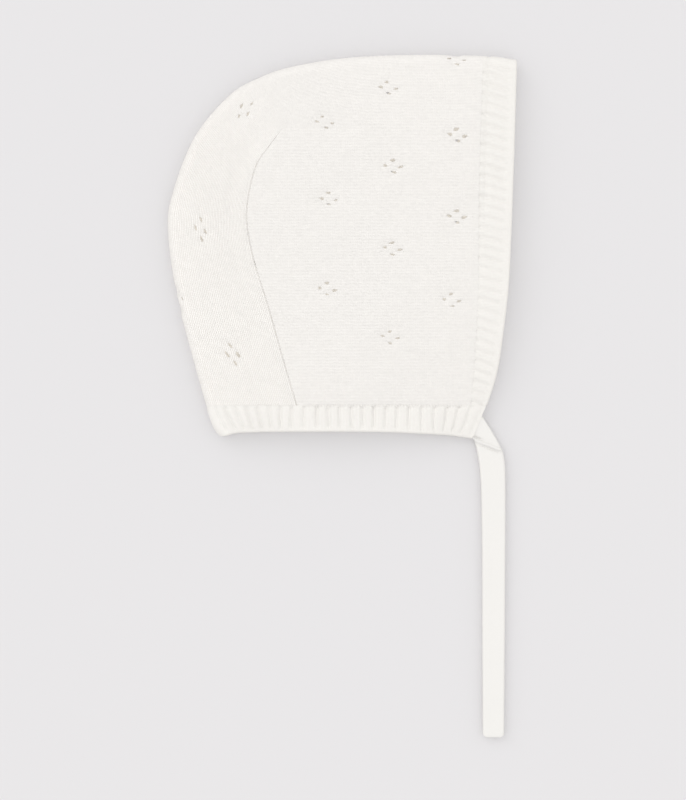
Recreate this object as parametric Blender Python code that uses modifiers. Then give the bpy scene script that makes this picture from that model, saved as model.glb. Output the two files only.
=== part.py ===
"""Knit baby bonnet with ties, folded on its centre line and lying on its side.

Metres. +X is the face opening, +Y the crown, +Z up from the surface it lies on. The lower side lies flat,
the upper side is domed over the hollow for the head, and the two are one cloth at the fold, which runs over
the crown and down the back. Origin: middle of the footprint, on that surface.
"""

import math
from typing import NamedTuple

import bmesh
import bpy
import numpy as np

MM = 0.001

# Cloth thicknesses, and the gap between two knitted pieces that are linked or sewn together.
BODY_WALL = 1.6 * MM
BAND_WALL = 2.2 * MM
TIE_WALL = 2.0 * MM
JOIN_GAP = 0.4 * MM

# How the folded bonnet stands: the radius of the fold, the puff of its upper side over that,
# and the shares of the puff that are left at the face and neck openings.
FOLD_RADIUS = 3.1 * MM
PUFF = 4.5 * MM
FOLD_REACH = 55.0 * MM
FACE_SHARE = 0.90
NECK_SHARE = 0.90
OPENING_REACH = 70.0 * MM

# The two sides close at the corner where the ties are sewn on.
CORNER_X = 61.3 * MM
CORNER_Y = -13.8 * MM
CORNER_REACH = 80.0 * MM
CORNER_GAP = 0.3 * MM

GRID_PITCH = 5.6 * MM
FOLD_STEPS = 3
SHARP_ANGLE = 50.0
BAND_COLUMNS = 3
CURVE_SAMPLES = 12

# The ties: their free end's corners, their rounded edges, and the tuck where the top one turns down.
TIE_PITCH = 9.0 * MM
TURN_SAMPLES = 4
TIE_END_RADIUS = 1.8 * MM
TIE_END_ANGLES = (35, 65, 90)
TIE_EDGE_BEVEL = 0.6 * MM
TIE_BEVEL_STEPS = 2
TIE_BEVEL_ANGLE = 60.0
TUCK_HEIGHT = 1.3 * MM
TUCK_WIDTH = 1.6 * MM


class Point(NamedTuple):
    """A named point of a line, in millimetres."""

    place: str
    x: float
    y: float


class TieSection(NamedTuple):
    """A section across the tie: its inner and outer edge, in millimetres."""

    place: str
    inner_x: float
    inner_y: float
    outer_x: float
    outer_y: float


NECK_LINE = -4.0

# The fold, from the face opening over the crown and down the back to the neck edge.
FOLD_LINE = (
    Point("face edge", 78.2, 149.8),
    Point("band line", 63.0, 151.8),
    Point("crown", 34.6, 152.3),
    Point("crown back", 3.6, 151.1),
    Point("back of crown", -22.4, 147.0),
    Point("crown slope", -37.6, 141.8),
    Point("above seam", -50.4, 134.1),
    Point("upper back", -65.7, 115.6),
    Point("back", -75.6, 90.0),
    Point("fullest back", -77.4, 73.8),
    Point("lower back", -73.8, 46.9),
    Point("above nape", -67.1, 20.2),
    Point("neck line", -60.2, NECK_LINE),
    Point("nape", -56.7, -13.8),
    Point("neck edge", -53.5, -17.7),
)

# The seam between a side panel and the tongue at the back, from its top end to the neck line.
SEAM_LINE = (
    Point("top end", -26.4, 119.7),
    Point("shoulder", -33.1, 110.8),
    Point("upper bend", -39.1, 101.0),
    Point("fullest", -42.6, 81.2),
    Point("lower bend", -39.7, 61.9),
    Point("slope", -33.1, 40.5),
    Point("lower slope", -26.0, 15.4),
    Point("neck line", -20.3, NECK_LINE),
)

# The line where the front band is linked on, and the band's free edge at the face.
BAND_LINE = (
    Point("neck end", 57.5, NECK_LINE),
    Point("jaw", 59.4, 20.6),
    Point("cheek", 60.6, 50.0),
    Point("temple", 61.2, 100.0),
    Point("fold", 63.0, 151.8),
)
FACE_EDGE = (
    Point("neck end", 64.5, NECK_LINE),
    Point("jaw", 69.1, 10.9),
    Point("cheek", 72.2, 31.2),
    Point("ear", 74.6, 55.2),
    Point("temple", 76.5, 100.2),
    Point("fold", 78.2, 149.8),
)

# The neck band's free edge, from the fold at the back to the corner with the tie.
NECK_EDGE = (
    Point("fold", -53.5, -17.7),
    Point("nape", -40.2, -16.2),
    Point("middle", 10.4, -15.9),
    Point("jaw", 43.9, -17.4),
    Point("corner", 58.1, -19.2),
)

# The tie turns down round its inner corner, then runs straight to its free end.
TIE_SECTIONS = (
    TieSection("sewn end", 58.8, -19.1, 63.2, -8.8),
    TieSection("turn", 59.0, -19.5, 67.3, -16.0),
    TieSection("tuck", 59.4, -20.5, 71.3, -23.2),
    TieSection("below tuck", 60.5, -24.8, 72.6, -27.8),
    TieSection("top", 62.0, -35.8, 73.2, -35.8),
    TieSection("upper", 62.7, -59.8, 73.2, -59.8),
    TieSection("lower", 62.9, -109.6, 72.9, -109.6),
    TieSection("free end", 63.1, -153.1, 72.6, -153.1),
)
TIE_TUCK = 2
TIE_TOP = 4

YARN_COLOUR = (0.90, 0.89, 0.85, 1.0)
YARN_ROUGHNESS = 0.9


def spline(rows, samples=CURVE_SAMPLES):
    """Catmull-Rom curve through rows of numbers, with this many steps from each row to the next."""
    rows = np.asarray(rows, float)
    ends = np.vstack([2 * rows[0] - rows[1], rows, 2 * rows[-1] - rows[-2]])
    steps = np.linspace(0, 1, samples, endpoint=False)[:, None]
    spans = []
    for before, start, end, after in zip(ends, ends[1:], ends[2:], ends[3:]):
        spans.append(
            0.5
            * (
                2 * start
                + (end - before) * steps
                + (2 * before - 5 * start + 4 * end - after) * steps**2
                + (3 * start - before - 3 * end + after) * steps**3
            )
        )
    return np.vstack([*spans, rows[-1:]])


def line(points):
    """A smooth line through named points, in metres."""
    return spline([(point.x * MM, point.y * MM) for point in points])


def by_length(curve, count):
    """Points at even steps of length along a curve."""
    length = np.concatenate([[0], np.cumsum(np.linalg.norm(np.diff(curve, axis=0), axis=1))])
    wanted = np.linspace(0, length[-1], count + 1)
    return np.column_stack([np.interp(wanted, length, axis) for axis in curve.T])


def x_at(curve, y):
    """The x of a line that runs up or down, at these heights."""
    order = np.argsort(curve[:, 1])
    return np.interp(y, curve[order, 1], curve[order, 0])


def y_at(curve, x):
    """The y of a line that runs across, at these places."""
    order = np.argsort(curve[:, 0])
    return np.interp(x, curve[order, 0], curve[order, 1])


FOLD = line(FOLD_LINE)
SEAM = line(SEAM_LINE)
BAND = line(BAND_LINE)
FACE = line(FACE_EDGE)
NECK = line(NECK_EDGE)


def domed(value):
    """Rises from 0 to 1 as a dome does, steep at first and level at the end, as the value goes from 0 to 1."""
    return 1 - (1 - np.clip(value, 0, 1)) ** 2


def fold_distance(x, y):
    """Distance of each place from the fold, in plan."""
    place = np.stack([x, y], axis=-1)[..., None, :]
    start = FOLD[:-1]
    run = np.diff(FOLD, axis=0)
    share = ((place - start) * run).sum(-1) / (run * run).sum(-1)
    nearest = start + np.clip(share, 0, 1)[..., None] * run
    return np.linalg.norm(place - nearest, axis=-1).min(-1)


def upper_height(x, y):
    """Height of the upper side's middle surface, away from the fold."""
    puff = PUFF * domed(fold_distance(x, y) / FOLD_REACH)
    from_face = domed((x_at(FACE, y) - x) / OPENING_REACH)
    from_neck = domed((y - y_at(NECK, x)) / OPENING_REACH)
    puff = puff * (FACE_SHARE + (1 - FACE_SHARE) * from_face)
    puff = puff * (NECK_SHARE + (1 - NECK_SHARE) * from_neck)
    lowest = 1.5 * BAND_WALL + CORNER_GAP
    from_corner = domed(np.hypot(x - CORNER_X, y - CORNER_Y) / CORNER_REACH)
    return lowest + (0.5 * BAND_WALL + 2 * FOLD_RADIUS - lowest + puff) * from_corner


def cloth_height(x, y, side, wall):
    """Height of the cloth's middle surface on the upper (side 1) or lower side (side -1)."""
    fold_height = FOLD_RADIUS + 0.5 * BAND_WALL
    inward = np.clip(fold_distance(x, y) / FOLD_RADIUS, 0, 1)
    turned = np.sqrt(1 - (1 - inward) ** 2)
    flat = upper_height(x, y) if side > 0 else 0.5 * wall
    return fold_height + (flat - fold_height) * turned


def from_fold(length):
    """Distances from the fold for a line that starts on it: close together round the bend, then even."""
    bend = [FOLD_RADIUS * (1 - math.cos(0.5 * math.pi * step / FOLD_STEPS)) for step in range(FOLD_STEPS)]
    count = max(1, round((length - FOLD_RADIUS) / GRID_PITCH))
    return np.array([*bend, *np.linspace(FOLD_RADIUS, length, count + 1)])


def new_object(name, mesh, collection, wall):
    """An object of open cloth, made a closed wall by Solidify."""
    cloth = bpy.data.objects.new(name, mesh)
    collection.objects.link(cloth)
    thickness = cloth.modifiers.new("wall", "SOLIDIFY")
    thickness.thickness = wall
    thickness.offset = 0
    thickness.use_even_offset = True
    mesh.shade_smooth()
    mesh.set_sharp_from_angle(angle=math.radians(SHARP_ANGLE))
    return cloth


def yarn(name):
    """The yarn of one piece."""
    material = bpy.data.materials.new(name)
    material.use_nodes = True
    shader = material.node_tree.nodes["Principled BSDF"]
    shader.inputs["Base Color"].default_value = YARN_COLOUR
    shader.inputs["Roughness"].default_value = YARN_ROUGHNESS
    shader.inputs["Metallic"].default_value = 0.0
    return material


def grid_faces(bm, rows):
    """Quads between rows of vertices."""
    for row, following in zip(rows, rows[1:]):
        for corners in zip(row, row[1:], following[1:], following):
            bm.faces.new(corners)


def both_sides(bm, plan, wall):
    """Rows of vertices over both sides of the cloth.

    plan[i, j] is the plan position of point j from the fold on row i, and column 0 lies on the fold. The rows
    returned run from the inner end on the upper side, round the fold, to the inner end on the lower side.
    """
    rows = []
    for line_points in plan:
        x, y = line_points.T
        upper = cloth_height(x, y, 1, wall)
        lower = cloth_height(x, y, -1, wall)
        row = [bm.verts.new(point) for point in zip(x[::-1], y[::-1], upper[::-1])]
        row += [bm.verts.new(point) for point in zip(x[1:], y[1:], lower[1:])]
        rows.append(row)
    return rows


def sections(outer, inner):
    """Plan positions on straight sections from points of the fold to their points on an inner line."""
    mean_length = np.linalg.norm(inner - outer, axis=1).mean()
    share = from_fold(mean_length) / mean_length
    return outer[:, None] + (inner - outer)[:, None] * share[None, :, None]


def fold_span(first, last, count):
    """Points at even steps along the fold between two of its named places."""
    places = [point.place for point in FOLD_LINE]
    start, end = places.index(first) * CURVE_SAMPLES, places.index(last) * CURVE_SAMPLES
    return by_length(FOLD[start : end + 1], count)


def make_knit_body(collection):
    """The T-shaped knitted piece: crown strip, tongue down the back, and both side panels."""
    bm = bmesh.new()
    half_gap = 0.5 * JOIN_GAP
    left, top = SEAM[0]
    right = x_at(BAND, top) - half_gap
    bottom = SEAM[-1, 1] + half_gap
    columns = round((right - left) / GRID_PITCH)
    rows = round((top - bottom) / GRID_PITCH)

    # Crown: sections from the front band back to the seam's top end. Its inner line is level.
    crown_fold = fold_span("band line", "above seam", columns)
    crown_fold[0, 0] -= half_gap
    crown_inner = np.column_stack([np.linspace(right, left, columns + 1), np.full(columns + 1, top)])

    # Tongue: sections from the seam's top end down to the neck line, half a gap clear of the seam.
    seam = by_length(SEAM, rows)
    along = np.gradient(seam, axis=0)
    outward = np.column_stack([along[:, 1], -along[:, 0]]) / np.linalg.norm(along, axis=1)[:, None]
    clear = np.minimum(np.arange(rows + 1), 1)[:, None] * half_gap
    tongue_inner = seam + outward * clear
    tongue_fold = fold_span("above seam", "neck line", rows)
    tongue_fold[-1, 1] = tongue_inner[-1, 1] = bottom

    outer = np.vstack([crown_fold, tongue_fold[1:]])
    inner = np.vstack([crown_inner, tongue_inner[1:]])
    strip = both_sides(bm, sections(outer, inner), BODY_WALL)
    grid_faces(bm, strip)

    # Side panels: level wales from the seam to the front band, hanging from the crown's inner line.
    panel_y = seam[:, 1].copy()
    panel_y[-1] = bottom
    panel_left = seam[:, 0] - outward[:, 0] * half_gap
    panel_right = x_at(BAND, panel_y) - half_gap
    for side in (1, -1):
        shared = [strip[column][0 if side > 0 else -1] for column in range(columns + 1)]
        panel = [shared]
        for row in range(1, rows + 1):
            x = np.linspace(panel_right[row], panel_left[row], columns + 1)
            y = np.full(columns + 1, panel_y[row])
            height = cloth_height(x, y, side, BODY_WALL)
            panel.append([bm.verts.new(point) for point in zip(x, y, height)])
        if side > 0:
            panel = [list(reversed(level)) for level in panel]
        grid_faces(bm, panel)

    return finish(bm, "knit_body", collection, BODY_WALL)


def make_front_band(collection):
    """The rib band round the face opening, from the neck line up over the fold and down the other side."""
    bm = bmesh.new()
    bottom = BAND[0, 1] + 0.5 * JOIN_GAP
    distance = from_fold(BAND[-1, 1] - bottom)
    lines = []
    for share in np.linspace(0, 1, BAND_COLUMNS + 1):
        fold_y = (1 - share) * BAND[-1, 1] + share * FACE[-1, 1]
        y = fold_y - distance / distance[-1] * (fold_y - bottom)
        x = (1 - share) * (x_at(BAND, y) + 0.5 * JOIN_GAP) + share * x_at(FACE, y)
        lines.append(np.column_stack([x, y]))
    grid_faces(bm, both_sides(bm, np.array(lines), BAND_WALL))
    return finish(bm, "front_band", collection, BAND_WALL)


def make_neck_band(collection):
    """The rib band along the neck edge, from one tie corner round the fold at the back to the other."""
    bm = bmesh.new()
    top = FACE[0, 1] - 0.5 * JOIN_GAP
    starts = fold_span("neck line", "neck edge", BAND_COLUMNS)
    starts[0, 1] = top
    distance = from_fold(FACE[0, 0] - starts[0, 0])
    lines = []
    for share, start in zip(np.linspace(0, 1, BAND_COLUMNS + 1), starts):
        end_x = (1 - share) * FACE[0, 0] + share * NECK[-1, 0]
        x = start[0] + distance / distance[-1] * (end_x - start[0])
        y = (1 - share) * top + share * y_at(NECK, x)
        y[0] = start[1]
        lines.append(np.column_stack([x, y]))
    grid_faces(bm, both_sides(bm, np.array(lines), BAND_WALL))
    return finish(bm, "neck_band", collection, BAND_WALL)


def finish(bm, name, collection, wall):
    """Turns the cloth's faces one way and gives it its wall and yarn."""
    bmesh.ops.recalc_face_normals(bm, faces=bm.faces)
    mesh = bpy.data.meshes.new(name)
    bm.to_mesh(mesh)
    bm.free()
    mesh.materials.append(yarn(name))
    return new_object(name, mesh, collection, wall)


def tie_rows():
    """The tie's edge points, inner and outer, from its sewn end to its rounded free end."""
    curve = spline([section[1:] for section in TIE_SECTIONS], samples=TURN_SAMPLES) * MM
    turn = curve[: TIE_TOP * TURN_SAMPLES]
    start, end = curve[TIE_TOP * TURN_SAMPLES, 1], curve[-1, 1] + TIE_END_RADIUS
    level = np.linspace(start, end, round((start - end) / TIE_PITCH) + 1)
    corner = np.radians(TIE_END_ANGLES)
    level = np.append(level, end - TIE_END_RADIUS * np.sin(corner))
    pull = np.append(np.zeros(len(level) - len(corner)), TIE_END_RADIUS * (1 - np.cos(corner)))
    inner = np.column_stack([x_at(curve[:, :2], level) + pull, level])
    outer = np.column_stack([x_at(curve[:, 2:], level) - pull, level])
    return np.vstack([turn[:, :2], inner]), np.vstack([turn[:, 2:], outer])


def make_tie(name, height, tuck_height, collection):
    """A flat tie lying at this height, its object at the middle of its sewn end."""
    inner, outer = tie_rows()
    sewn = 0.5 * (inner[0] + outer[0])
    tuck = TIE_TUCK * TURN_SAMPLES
    bm = bmesh.new()
    rows = []
    for inner_point, outer_point in zip(inner, outer):
        row = []
        for share in (0, 0.5, 1):
            point = (1 - share) * inner_point + share * outer_point
            crest = (1 - share) * inner[tuck] + share * outer[tuck]
            raised = tuck_height * math.exp(-(((point - crest) @ (point - crest)) / TUCK_WIDTH**2))
            row.append(bm.verts.new((*(point - sewn), raised)))
        rows.append(row)
    grid_faces(bm, rows)
    tie = finish(bm, name, collection, TIE_WALL)
    tie.location = (*sewn, height)
    edges = tie.modifiers.new("soft edges", "BEVEL")
    edges.width = TIE_EDGE_BEVEL
    edges.segments = TIE_BEVEL_STEPS
    edges.limit_method = "ANGLE"
    edges.angle_limit = math.radians(TIE_BEVEL_ANGLE)
    return tie


def main():
    """Builds the bonnet."""
    for leftover in list(bpy.data.objects):
        bpy.data.objects.remove(leftover)
    collection = bpy.data.collections.new("Knit baby hat")
    bpy.context.scene.collection.children.link(collection)
    bonnet = bpy.data.objects.new("bonnet", None)
    collection.objects.link(bonnet)
    pieces = [make_knit_body(collection), make_front_band(collection), make_neck_band(collection)]
    pieces.append(make_tie("tie_left", 0.5 * TIE_WALL, 0, collection))
    pieces.append(make_tie("tie_right", 1.5 * TIE_WALL + CORNER_GAP, TUCK_HEIGHT, collection))
    for piece in pieces:
        piece.parent = bonnet


main()
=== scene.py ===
"""Looks of a fine-knit baby bonnet with ties, folded on its centre line and lying on its side.

Metres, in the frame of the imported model: +X is the face opening, +Y the crown, +Z up from the floor.
Each piece of cloth is laid out in its own knitting's coordinates: how far a place is across the wales,
counted from the fold, and how far along them. The outline, the ribs, the eyelets and the relief of the
stitches all use them, so they follow the knitting round the fold and down the back.
"""

from __future__ import annotations

import logging
import math
from dataclasses import dataclass
from enum import Enum
from typing import NamedTuple

import bpy
import numpy as np
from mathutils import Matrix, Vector
from mathutils.geometry import delaunay_2d_cdt


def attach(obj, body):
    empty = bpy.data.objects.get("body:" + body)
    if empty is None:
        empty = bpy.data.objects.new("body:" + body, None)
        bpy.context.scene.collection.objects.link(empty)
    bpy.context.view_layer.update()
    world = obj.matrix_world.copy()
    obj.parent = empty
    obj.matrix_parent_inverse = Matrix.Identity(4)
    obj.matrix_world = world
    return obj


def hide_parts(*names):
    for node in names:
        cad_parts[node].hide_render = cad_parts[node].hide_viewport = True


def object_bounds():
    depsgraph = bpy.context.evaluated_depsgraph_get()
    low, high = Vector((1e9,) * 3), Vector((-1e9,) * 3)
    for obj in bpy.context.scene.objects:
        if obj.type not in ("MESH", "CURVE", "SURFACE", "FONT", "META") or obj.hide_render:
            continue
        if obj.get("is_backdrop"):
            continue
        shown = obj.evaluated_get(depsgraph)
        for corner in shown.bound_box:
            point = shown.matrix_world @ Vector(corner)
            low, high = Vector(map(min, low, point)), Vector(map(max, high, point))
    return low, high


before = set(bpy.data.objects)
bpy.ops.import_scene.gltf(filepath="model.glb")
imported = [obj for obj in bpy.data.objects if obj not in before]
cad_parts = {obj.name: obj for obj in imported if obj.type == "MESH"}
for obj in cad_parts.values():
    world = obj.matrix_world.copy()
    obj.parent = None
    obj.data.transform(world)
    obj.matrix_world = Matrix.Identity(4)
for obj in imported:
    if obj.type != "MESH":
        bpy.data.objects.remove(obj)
PACKED_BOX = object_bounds()

MM = 0.001
TINY = 1e-12
TOLERANCE = 1e-9
FAR = 1.0  # a distance, in metres, that no edge acts over
SHARP_ANGLE = 70.0
BODY_WALL = 1.6 * MM
STRIP_WIDTH = 31.5 * MM
TONGUE_HALF_WIDTH = STRIP_WIDTH + 2.0 * MM
NECK_LINE = -4.0
GROOVE_END = (57 * MM, 53 * MM)
EDGE_STEPS = np.array([0.0, 0.35, 0.8, 1.4, 2.2]) * MM
Array = np.ndarray
Face = tuple[int, ...]
Span = tuple[float, float]
Socket = bpy.types.NodeSocket
log = logging.getLogger("bonnet")


class Outline:
    """A smooth line through named places, in metres."""

    STEPS = 24

    def __init__(self, *places: tuple[str, float, float]) -> None:
        """Runs a Catmull-Rom curve through the places.

        Args:
            places: Name, x and y of each place, in millimetres.
        """
        self.names = [place[0] for place in places]
        knots = np.array([place[1:] for place in places]) * MM
        ends = np.vstack([2 * knots[0] - knots[1], knots, 2 * knots[-1] - knots[-2]])
        step = np.linspace(0, 1, self.STEPS, endpoint=False)[:, None]
        spans = []
        for before, start, end, after in zip(ends, ends[1:], ends[2:], ends[3:]):
            bend = (2 * before - 5 * start + 4 * end - after) * step**2
            twist = (3 * start - before - 3 * end + after) * step**3
            spans.append(0.5 * (2 * start + (end - before) * step + bend + twist))
        self.points = np.vstack([*spans, knots[-1:]])

    def between(self, first: str, last: str) -> Array:
        """Points of the line from one named place to another."""
        start, end = (self.names.index(name) * self.STEPS for name in (first, last))
        return self.points[start : end + 1]

    def x_at(self, y: Array | float) -> Array:
        """The x of a line that runs up or down, at these heights."""
        order = np.argsort(self.points[:, 1])
        return np.interp(y, self.points[order, 1], self.points[order, 0])

    def y_at(self, x: Array | float) -> Array:
        """The y of a line that runs across, at these places."""
        order = np.argsort(self.points[:, 0])
        return np.interp(x, self.points[order, 0], self.points[order, 1])


FOLD = Outline(
    ("face edge", 78.2, 149.8),
    ("band line", 63.0, 151.8),
    ("crown", 34.6, 152.3),
    ("crown back", 3.6, 151.1),
    ("back of crown", -22.4, 147.0),
    ("crown slope", -37.6, 141.8),
    ("above seam", -50.4, 134.1),
    ("upper back", -65.7, 115.6),
    ("back", -75.6, 90.0),
    ("fullest back", -77.4, 73.8),
    ("lower back", -73.8, 46.9),
    ("above nape", -67.1, 20.2),
    ("neck line", -60.2, NECK_LINE),
    ("nape", -56.7, -13.8),
    ("neck edge", -53.5, -17.7),
)
SEAM = Outline(
    ("top end", -26.4, 119.7),
    ("shoulder", -33.1, 110.8),
    ("upper bend", -39.1, 101.0),
    ("fullest", -42.6, 81.2),
    ("lower bend", -39.7, 61.9),
    ("slope", -33.1, 40.5),
    ("lower slope", -26.0, 15.4),
    ("neck line", -20.3, NECK_LINE),
)
BAND_LINE = Outline(
    ("neck end", 57.5, NECK_LINE),
    ("jaw", 59.4, 20.6),
    ("cheek", 60.6, 50.0),
    ("temple", 61.2, 100.0),
    ("fold", 63.0, 151.8),
)
FACE_EDGE = Outline(
    ("neck end", 64.5, NECK_LINE),
    ("jaw", 69.1, 10.9),
    ("cheek", 72.2, 31.2),
    ("ear", 74.6, 55.2),
    ("temple", 76.5, 100.2),
    ("fold", 78.2, 149.8),
)
NECK_EDGE = Outline(
    ("fold", -53.5, -17.7),
    ("nape", -40.2, -16.2),
    ("middle", 10.4, -15.9),
    ("jaw", 43.9, -17.4),
    ("corner", 58.1, -19.2),
)


def lengths_along(line: Array) -> Array:
    """Distance of each of a line's points from its start, along the line."""
    return np.concatenate([[0], np.cumsum(np.linalg.norm(np.diff(line, axis=0), axis=1))])


def at_lengths(line: Array, lengths: Array, wanted: Array) -> Array:
    """Places on a line, one row for each wanted length, from the lengths at the line's points."""
    return np.column_stack([np.interp(wanted, lengths, axis) for axis in line.T])


def at_share(line: Array, share: Array) -> Array:
    """Places on a line, one row for each of these shares of its length."""
    lengths = lengths_along(line)
    return at_lengths(line, lengths, share * lengths[-1])


def unit(rows: Array) -> Array:
    """Each row, or a single one, scaled to length 1."""
    return rows / np.maximum(np.linalg.norm(rows, axis=-1, keepdims=True), TINY)


def domed(value: Array) -> Array:
    """Rises from 0 to 1 as a dome does, as the value goes from 0 to 1."""
    return 1 - (1 - np.clip(value, 0, 1)) ** 2


def bell(distance: Array, width: float) -> Array:
    """1 at no distance and falling smoothly to nothing over about twice the width."""
    return np.exp(-((distance / width) ** 2))


def eased(value: Array) -> Array:
    """Goes smoothly from 0 to 1 as the value does."""
    value = np.clip(value, 0, 1)
    return value * value * (3 - 2 * value)


def ramp(value: Array, start: float, end: float) -> Array:
    """Goes smoothly from 0 to 1 as a value goes from start to end."""
    return eased((value - start) / (end - start))


def graded(start: float, end: float, pitch: float, fine_start: bool, fine_end: bool) -> Array:
    """Stations along a row of stitches, closer together towards an edge that rolls over.

    Args:
        start: First station.
        end: Last station.
        pitch: Widest step between two stations.
        fine_start: True to bring them closer at the start.
        fine_end: True to bring them closer at the end.

    Returns:
        The stations, from start to end.
    """
    way = 1 if end > start else -1
    head = start + way * EDGE_STEPS if fine_start else np.array([start])
    tail = end - way * EDGE_STEPS[::-1] if fine_end else np.array([end])
    count = max(1, round(abs(tail[0] - head[-1]) / pitch))
    return np.concatenate([head[:-1], np.linspace(head[-1], tail[0], count + 1), tail[1:]])


@dataclass(frozen=True)
class Roll:
    """A rise of the cloth along an edge: its distance from it, width and height, in millimetres."""

    at: float
    width: float
    height: float

    def over(self, distance: Array) -> Array:
        """Its height, in metres, at these distances from the edge."""
        return self.height * MM * bell(distance - self.at * MM, self.width * MM)


@dataclass(frozen=True)
class Wave:
    """One of the long shallow waves of cloth that isn't pressed."""

    length: float
    heading: float
    height: float
    start: float


@dataclass(frozen=True)
class FoldedForm:
    """How the folded bonnet stands: the height of its two sides over the floor."""

    band_wall: float = 2.2 * MM
    fold_radius: float = 3.1 * MM
    bend_steps: int = 8
    puff: float = 4.5 * MM
    fold_reach: float = 55.0 * MM
    face_share: float = 0.90
    neck_share: float = 0.90
    opening_reach: float = 70.0 * MM
    corner: tuple[float, float] = (61.3 * MM, -13.8 * MM)
    corner_reach: float = 80.0 * MM
    corner_gap: float = 0.3 * MM
    roomy: float = 4.0 * MM
    waves: tuple[Wave, ...] = (
        Wave(61 * MM, 20, 0.22 * MM, 0.4),
        Wave(37 * MM, 75, 0.13 * MM, 1.9),
        Wave(23 * MM, 130, 0.07 * MM, 4.1),
    )
    slack_from_fold: Span = (0, 15 * MM)
    slack_over_neck: Span = (-10 * MM, 15 * MM)

    def fold_distance(self, x: Array, y: Array) -> Array:
        """Distance of each place from the fold, in plan.

        Args:
            x: Places in plan.
            y: Places in plan.

        Returns:
            The distance of each.
        """
        fold = FOLD.points[::3]
        place = np.stack([x, y], axis=-1)[..., None, :]
        run = np.diff(fold, axis=0)
        share = ((place - fold[:-1]) * run).sum(-1) / (run * run).sum(-1)
        nearest = fold[:-1] + np.clip(share, 0, 1)[..., None] * run
        return np.linalg.norm(place - nearest, axis=-1).min(-1)

    def upper_height(self, x: Array, y: Array) -> Array:
        """Height of the upper side's middle surface, away from the fold.

        Args:
            x: Places in plan.
            y: Places in plan.

        Returns:
            The height at each place.
        """
        puff = self.puff * domed(self.fold_distance(x, y) / self.fold_reach)
        from_face = domed((FACE_EDGE.x_at(y) - x) / self.opening_reach)
        from_neck = domed((y - NECK_EDGE.y_at(x)) / self.opening_reach)
        puff = puff * (self.face_share + (1 - self.face_share) * from_face)
        puff = puff * (self.neck_share + (1 - self.neck_share) * from_neck)
        lowest = 1.5 * self.band_wall + self.corner_gap
        from_corner = domed(np.hypot(x - self.corner[0], y - self.corner[1]) / self.corner_reach)
        return lowest + (0.5 * self.band_wall + 2 * self.fold_radius - lowest + puff) * from_corner

    def height(self, x: Array, y: Array, upper: Array, wall: float) -> Array:
        """Height of the cloth's middle surface.

        Args:
            x: Places in plan.
            y: Places in plan.
            upper: True for the upper side.
            wall: Thickness of the cloth.

        Returns:
            The height at each place.
        """
        middle = self.fold_radius + 0.5 * self.band_wall
        distance = self.fold_distance(x, y)
        turned = np.sqrt(1 - (1 - np.clip(distance / self.fold_radius, 0, 1)) ** 2)
        flat = np.where(upper, self.upper_height(x, y), 0.5 * wall)
        slack = ramp(distance - self.fold_radius, *self.slack_from_fold) * ramp(y, *self.slack_over_neck)
        unpressed = np.where(upper, slack * self.waviness(x, y), 0)
        return middle + (flat - middle) * turned + unpressed

    def waviness(self, x: Array, y: Array) -> Array:
        """Height of the long shallow waves.

        Args:
            x: Places in plan.
            y: Places in plan.

        Returns:
            The height at each place.
        """
        total = np.zeros_like(x)
        for wave in self.waves:
            heading = math.radians(wave.heading)
            travel = x * math.cos(heading) + y * math.sin(heading)
            total += wave.height * np.sin(2 * math.pi * travel / wave.length + wave.start)
        return total

    def room(self, x: Array, y: Array) -> Array:
        """Share from 0 to 1 of the free height between the two sides, for how far cloth may sink in."""
        free = self.upper_height(x, y) - 2 * self.band_wall - self.corner_gap
        return np.clip(free / self.roomy, 0, 1)

    def bend_depth(self, across: Array) -> Array:
        """Distance from the fold in plan, from the distance along the cloth.

        Args:
            across: Signed distances from the fold along the cloth.

        Returns:
            The distances in plan, none below 0.
        """
        far = np.abs(across)
        turn = 0.5 * math.pi * self.fold_radius
        bent = self.fold_radius * (1 - np.cos(far / self.fold_radius))
        return np.where(far < turn, bent, far - turn + self.fold_radius)

    def bend_length(self, depth: float) -> float:
        """Distance along the cloth of a place beyond the bend, from its distance in plan."""
        return depth + (0.5 * math.pi - 1) * self.fold_radius

    def across_stations(self, end: float, pitch: float, fine_end: bool) -> Array:
        """Stations across the fold, close together round the bend.

        Args:
            end: Distance along the cloth of the last station on each side.
            pitch: Widest step between two stations.
            fine_end: True to bring them closer at both ends.

        Returns:
            Signed stations, from the upper side's end to the lower side's.
        """
        turn = 0.5 * math.pi * self.fold_radius
        bend = np.linspace(0, turn, self.bend_steps)
        side = np.concatenate([bend[:-1], graded(turn, end, pitch, False, fine_end)])
        return np.concatenate([side[::-1], -side[1:]])


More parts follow.
